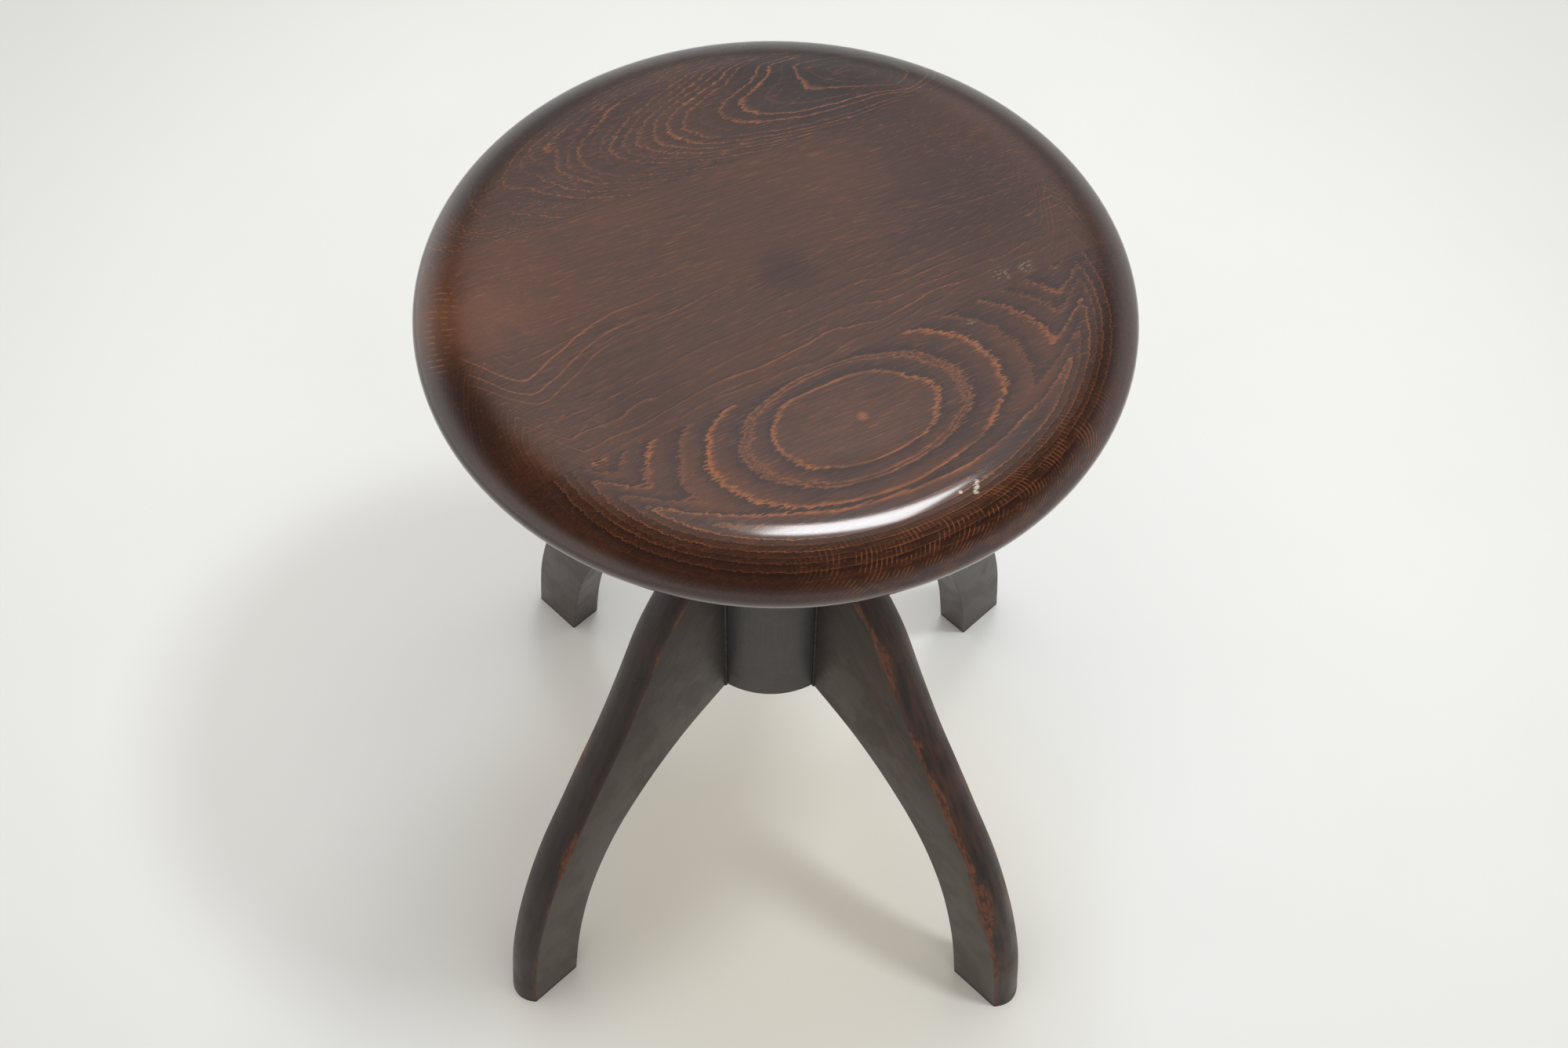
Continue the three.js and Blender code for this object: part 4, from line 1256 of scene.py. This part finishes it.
# %% Lay a bead round each leg's end
BEAD_RADIUS = 0.95
glue_finish, tree, shader = new_material("old dark glue", (0.01, 0.01, 0.01, 1))
lumps = add_node(tree, "ShaderNodeTexNoise", {
    "Vector": object_place(tree), "Scale": 0.25, "Detail": 3.0}).outputs[0]
base = mix_colours(tree, lumps, (0.003, 0.003, 0.003, 1), (0.016, 0.010, 0.008, 1))
finish_shader(tree, shader, base, ease(tree, lumps, 0.3, 0.7, 0.35, 0.6), lumps, 0.6, 0.0004)
shader.inputs["Specular IOR Level"].default_value = 0.3
for side in LEG_TURNS:
    standing = bpy.data.objects["curved_leg_" + side]
    pick(standing)
    select_vertices(standing, lambda v: abs(math.hypot(v.co.x, v.co.y) / MM - HUB_GAP) < 0.15)
    bpy.ops.mesh.select_mode(type="FACE")
    bpy.ops.mesh.region_to_loop()
    bpy.ops.mesh.duplicate()
    bpy.ops.mesh.separate(type="SELECTED")
    bpy.ops.object.mode_set(mode="OBJECT")
    bead = next(o for o in bpy.context.selected_objects if o is not standing)
    bead.name = "joint_bead_" + side
    pick(bead)
    bpy.ops.object.convert(target="CURVE")
    bead.data.bevel_depth = BEAD_RADIUS * MM
    bead.data.bevel_resolution = 2
    bpy.ops.object.convert(target="MESH")
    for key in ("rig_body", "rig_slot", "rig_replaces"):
        if key in bead:
            del bead[key]
    bpy.ops.object.shade_smooth()
    place_on(bead, "base", "frame_wood", glue_finish)
    print(bead.name, "faces:", len(bead.data.polygons))

# %% [markdown]
# ## Metals
# The flange and the nut are cast iron, painted black, with a sandy skin. The screw, washer, pins and
# wood screws are plain steel, greased, with some brown in the grease and small spots of rust.

# %% Mix the painted cast iron
IRON_DEEP, IRON_THIN = (0.022, 0.022, 0.024, 1), (0.050, 0.047, 0.045, 1)
cast_iron, tree, shader = new_material("painted cast iron", (0.05, 0.05, 0.055, 1))
place = object_place(tree)
sand = add_node(tree, "ShaderNodeTexNoise", {
    "Vector": place, "Scale": 0.9, "Detail": 4.0, "Roughness": 0.6}).outputs[0]
lumps = add_node(tree, "ShaderNodeTexNoise", {"Vector": place, "Scale": 0.12, "Detail": 2.0}).outputs[0]
marks = use_group(tree, use_marks, {"Vector": place, "Size": 18.0})
base = mix_colours(tree, marks["Smudge"], IRON_DEEP, IRON_THIN)
rust = multiply(tree, ease(tree, lumps, 0.60, 0.72), 0.5)
base = mix_colours(tree, rust, base, (0.13, 0.052, 0.024, 1))
base = mix_colours(tree, multiply(tree, marks["Dust"], 0.3), base, (0.30, 0.27, 0.23, 1))
height = add(tree, sand, multiply(tree, lumps, 2.0))
finish_shader(tree, shader, base, ease(tree, sand, 0.3, 0.7, 0.42, 0.68), height, 0.5, 0.0003)
print("cast iron nodes:", len(tree.nodes))

# %% Mix the greased steel
STEEL_DARK, STEEL_BRIGHT = (0.30, 0.29, 0.27, 1), (0.44, 0.43, 0.41, 1)
steel, tree, shader = new_material("greased steel", (0.4, 0.39, 0.37, 1))
place = object_place(tree)
marks = use_group(tree, use_marks, {"Vector": place, "Size": 12.0})
turning = add_node(tree, "ShaderNodeMapping", {"Vector": place, "Scale": (0.02, 0.02, 5.0)}).outputs[0]
lathe_lines = add_node(tree, "ShaderNodeTexNoise", {
    "Vector": turning, "Scale": 1.0, "Detail": 2.0}).outputs[0]
base = mix_colours(tree, lathe_lines, STEEL_DARK, STEEL_BRIGHT)
base = mix_colours(tree, multiply(tree, marks["Smudge"], 0.45), base, (0.11, 0.075, 0.045, 1))
base = mix_colours(tree, multiply(tree, marks["Dust"], 0.6), base, (0.16, 0.062, 0.028, 1))
roughness = ease(tree, marks["Smudge"], 0.0, 1.0, 0.28, 0.52)
height = subtract(tree, lathe_lines, marks["Scratch"])
finish_shader(tree, shader, base, roughness, height, 0.25, 0.00008)
feed(tree, shader.inputs["Metallic"], ease(tree, marks["Dust"], 0.0, 1.0, 1.0, 0.3))
print("steel nodes:", len(tree.nodes))

# %% [markdown]
# ## Flange under the seat
# The flange is one casting: a round plate with a boss for the spindle and a fillet between them. It is
# turned like the wood, then drilled for its four screws and for the pin that locks the spindle.

# %% Turn and drill the flange
SPINDLE_ROOT = 11.0
PLATE_UNDERSIDE = 451.7
PLATE_TOP = 457.7
PLATE_RADIUS = 65.0
BOSS_UNDERSIDE = 414.7
BOSS_RADIUS = 22.0
BOSS_FILLET = 8.0
BOSS_CHAMFER = 1.0
PLATE_ROUND = 1.5
BOSS_PIN_RADIUS = 3.0
BOSS_PIN_HEIGHT = (PLATE_UNDERSIDE + BOSS_UNDERSIDE) / 2
flange_bore = SPINDLE_ROOT + FIT_GAP
fillet_centre = (BOSS_RADIUS + BOSS_FILLET, PLATE_UNDERSIDE - BOSS_FILLET)
rim_centre = (PLATE_RADIUS - PLATE_ROUND, PLATE_UNDERSIDE + PLATE_ROUND)
flange_outline = (
    [(flange_bore, BOSS_UNDERSIDE), (BOSS_RADIUS - BOSS_CHAMFER, BOSS_UNDERSIDE),
     (BOSS_RADIUS, BOSS_UNDERSIDE + BOSS_CHAMFER)]
    + quarter_round(fillet_centre, (BOSS_FILLET, BOSS_FILLET), 180, 90, 8)
    + quarter_round(rim_centre, (PLATE_ROUND, PLATE_ROUND), -90, 0, 4)
    + [(PLATE_RADIUS, PLATE_TOP), (flange_bore, PLATE_TOP)]
)
FLANGE_SCREW_CIRCLE = 104.0
FLANGE_SCREW_DEPTH = 22.6


def pin_cutter(radius, length, turn, height):
    """A drill right through, for a cross pin."""
    cutter = bar_cutter(radius + FIT_GAP, -length, length)
    set_down(cutter, turn, (0, 0, height))
    return cutter


flange = turned_piece("iron_seat_flange", flange_outline, 96, closed=True)
cut_away(flange, *screw_cutters(FLANGE_SCREW_DEPTH, FLANGE_SCREW_CIRCLE, PLATE_UNDERSIDE, upside_down=True),
         pin_cutter(BOSS_PIN_RADIUS, 40, (0, 90, 0), BOSS_PIN_HEIGHT))
cut_away(seat, *screw_cutters(FLANGE_SCREW_DEPTH, FLANGE_SCREW_CIRCLE, PLATE_UNDERSIDE, upside_down=True))
smooth_again(flange)
smooth_again(seat)
place_on(flange, "seat", "cast_iron", cast_iron, "seat_flange")

# %% [markdown]
# ## Cut the thread
# A thread is one notch that winds up the bar. Its outline for one pitch is drawn, and the Screw modifier
# winds it round and up by one pitch a turn. The same outline, a little larger, cuts the thread in the nut.

# %% Wind a thread
PITCH = 8.0
THREAD_START = 278.0
ROOT_SHARE = 0.34
FLANK_SHARE = 0.16
CREST_RADIUS_OF_THREAD = 14.0
THREAD_STEPS = 48


def threaded_bar(name, bottom, top, radial_gap, axial_gap):
    """A right-handed threaded bar, closed at both ends."""
    root, crest = SPINDLE_ROOT + radial_gap, CREST_RADIUS_OF_THREAD + radial_gap
    first = math.floor((bottom - THREAD_START) / PITCH) - 2
    turns = math.ceil((top - THREAD_START) / PITCH) + 2 - first
    start = THREAD_START + first * PITCH
    outline = [
        (root, axial_gap),
        (root, PITCH * ROOT_SHARE - axial_gap),
        (crest, PITCH * (ROOT_SHARE + FLANK_SHARE) - axial_gap),
        (crest, PITCH * (1 - FLANK_SHARE) + axial_gap),
        (root, PITCH + axial_gap),
    ]
    bar = start_piece(name)
    draw_outline([Vector((radius, 0, start + height)) * MM for radius, height in outline])
    bpy.ops.object.mode_set(mode="OBJECT")
    apply_modifier(bar, "SCREW", axis="Z", angle=2 * math.pi, screw_offset=PITCH * MM, iterations=turns,
                   steps=THREAD_STEPS, render_steps=THREAD_STEPS, use_normal_calculate=True)
    bpy.ops.object.mode_set(mode="EDIT")
    bpy.ops.mesh.select_all(action="SELECT")
    bpy.ops.mesh.remove_doubles(threshold=SAME_POINT)
    for height, lower in ((bottom, True), (top, False)):
        bpy.ops.mesh.select_all(action="SELECT")
        bpy.ops.mesh.bisect(plane_co=(0, 0, height * MM), plane_no=(0, 0, 1), use_fill=True,
                            clear_inner=lower, clear_outer=not lower)
    return finish_piece(bar)


THREAD_BOTTOM = 218.0
THREAD_TOP = BOSS_UNDERSIDE - FIT_GAP
spindle = threaded_bar("threaded_spindle", THREAD_BOTTOM, THREAD_TOP, 0.0, 0.0)

# %% Give the spindle its shank and tail
SHANK_TOP = PLATE_TOP - FIT_GAP
TAIL_RADIUS = 8.0
TAIL_BOTTOM = 202.0
TAIL_CHAMFER = 1.0
TAIL_PIN_RADIUS = 2.0
TAIL_PIN_HEIGHT = 209.9
CORE_RADIUS = 5.0
CORE_TAPER = 3.0
shank_radius = SPINDLE_ROOT - 0.04
tail_end = THREAD_BOTTOM + PITCH
shank_start = THREAD_TOP - PITCH
shaft = turned_piece("shaft", [
    (0, TAIL_BOTTOM), (TAIL_RADIUS - TAIL_CHAMFER, TAIL_BOTTOM), (TAIL_RADIUS, TAIL_BOTTOM + TAIL_CHAMFER),
    (TAIL_RADIUS, tail_end), (CORE_RADIUS, tail_end + CORE_TAPER), (CORE_RADIUS, shank_start - CORE_TAPER),
    (shank_radius, shank_start), (shank_radius, SHANK_TOP), (0, SHANK_TOP)], 48)
cut_away(spindle, shaft, operation="UNION")
cut_away(spindle, pin_cutter(BOSS_PIN_RADIUS, 40, (0, 90, 0), BOSS_PIN_HEIGHT),
         pin_cutter(TAIL_PIN_RADIUS, 20, (90, 0, 0), TAIL_PIN_HEIGHT))
smooth_again(spindle)
place_on(spindle, "seat", "steel", steel, "spindle")

# %% [markdown]
# ## Nut and stop washer
# The nut's flange is screwed to the top of the hub and its barrel hangs in the bore. The washer on the
# tail meets the barrel when the seat is fully up, so the spindle can't be wound out of the hub.

# %% Make the nut and the washer
NUT_UNDERSIDE = 278.0
NUT_FLANGE_UNDERSIDE = HUB_TOP + FIT_GAP
NUT_BARREL = HUB_BORE - FIT_GAP
NUT_FLANGE = 40.0
NUT_ROUND = 1.0
nut_outline = (
    [(0, NUT_UNDERSIDE), (NUT_BARREL - NUT_ROUND, NUT_UNDERSIDE), (NUT_BARREL, NUT_UNDERSIDE + NUT_ROUND),
     (NUT_BARREL, NUT_FLANGE_UNDERSIDE), (NUT_FLANGE, NUT_FLANGE_UNDERSIDE)]
    + quarter_round((NUT_FLANGE - NUT_ROUND, NUT_TOP - NUT_ROUND), (NUT_ROUND, NUT_ROUND), 0, 90, 4)
    + [(0, NUT_TOP)]
)
nut = turned_piece("iron_nut", nut_outline, 96)
cut_away(nut, threaded_bar("nut_thread", NUT_UNDERSIDE - PAST, NUT_TOP + PAST, 0.7, 0.45),
         *screw_cutters(NUT_SCREW_DEPTH, NUT_SCREW_CIRCLE, NUT_TOP))
smooth_again(nut)
place_on(nut, "base", "cast_iron", cast_iron, "nut")

WASHER_TOP = 217.7
WASHER_UNDERSIDE = 213.7
WASHER_RADIUS = 20.0
WASHER_CHAMFER = 0.6
washer_bore = TAIL_RADIUS + FIT_GAP
washer_face = WASHER_RADIUS - WASHER_CHAMFER
washer = turned_piece("loose_stop_washer", [
    (washer_bore, WASHER_UNDERSIDE), (washer_face, WASHER_UNDERSIDE),
    (WASHER_RADIUS, WASHER_UNDERSIDE + WASHER_CHAMFER), (WASHER_RADIUS, WASHER_TOP - WASHER_CHAMFER),
    (washer_face, WASHER_TOP), (washer_bore, WASHER_TOP)], 64, closed=True)
place_on(washer, "stop", "steel", steel, "stop_washer")

# %% [markdown]
# ## Pieces kept from the CAD
# The dowels, screws and pins have the right shape already, with their slots and points. They only need
# their finishes: plain pale beech for the dowels, and the steel above for the rest.

# %% Finish the dowels, screws and pins
dowel_wood, tree, shader = new_material("plain beech dowel", (0.5, 0.33, 0.18, 1))
place = object_place(tree)
fibres = use_group(tree, fibre_group, {"Vector": place, "Fineness": 3.0})
base = mix_colours(tree, fibres["Streaks"], (0.42, 0.25, 0.12, 1), (0.56, 0.37, 0.20, 1))
base = mix_colours(tree, multiply(tree, fibres["Pores"], 0.6), base, (0.25, 0.13, 0.06, 1))
roughness = ease(tree, fibres["Streaks"], 0.0, 1.0, 0.6, 0.75)
finish_shader(tree, shader, base, roughness, fibres["Streaks"], 0.3, 0.0002)
kept = 0
for name, node in frame["nodes"].items():
    if node.hide_render:
        continue
    finish = dowel_wood if "dowel" in name else steel
    for slot in node.material_slots:
        slot.material = finish
    kept += 1
print("kept nodes:", kept)
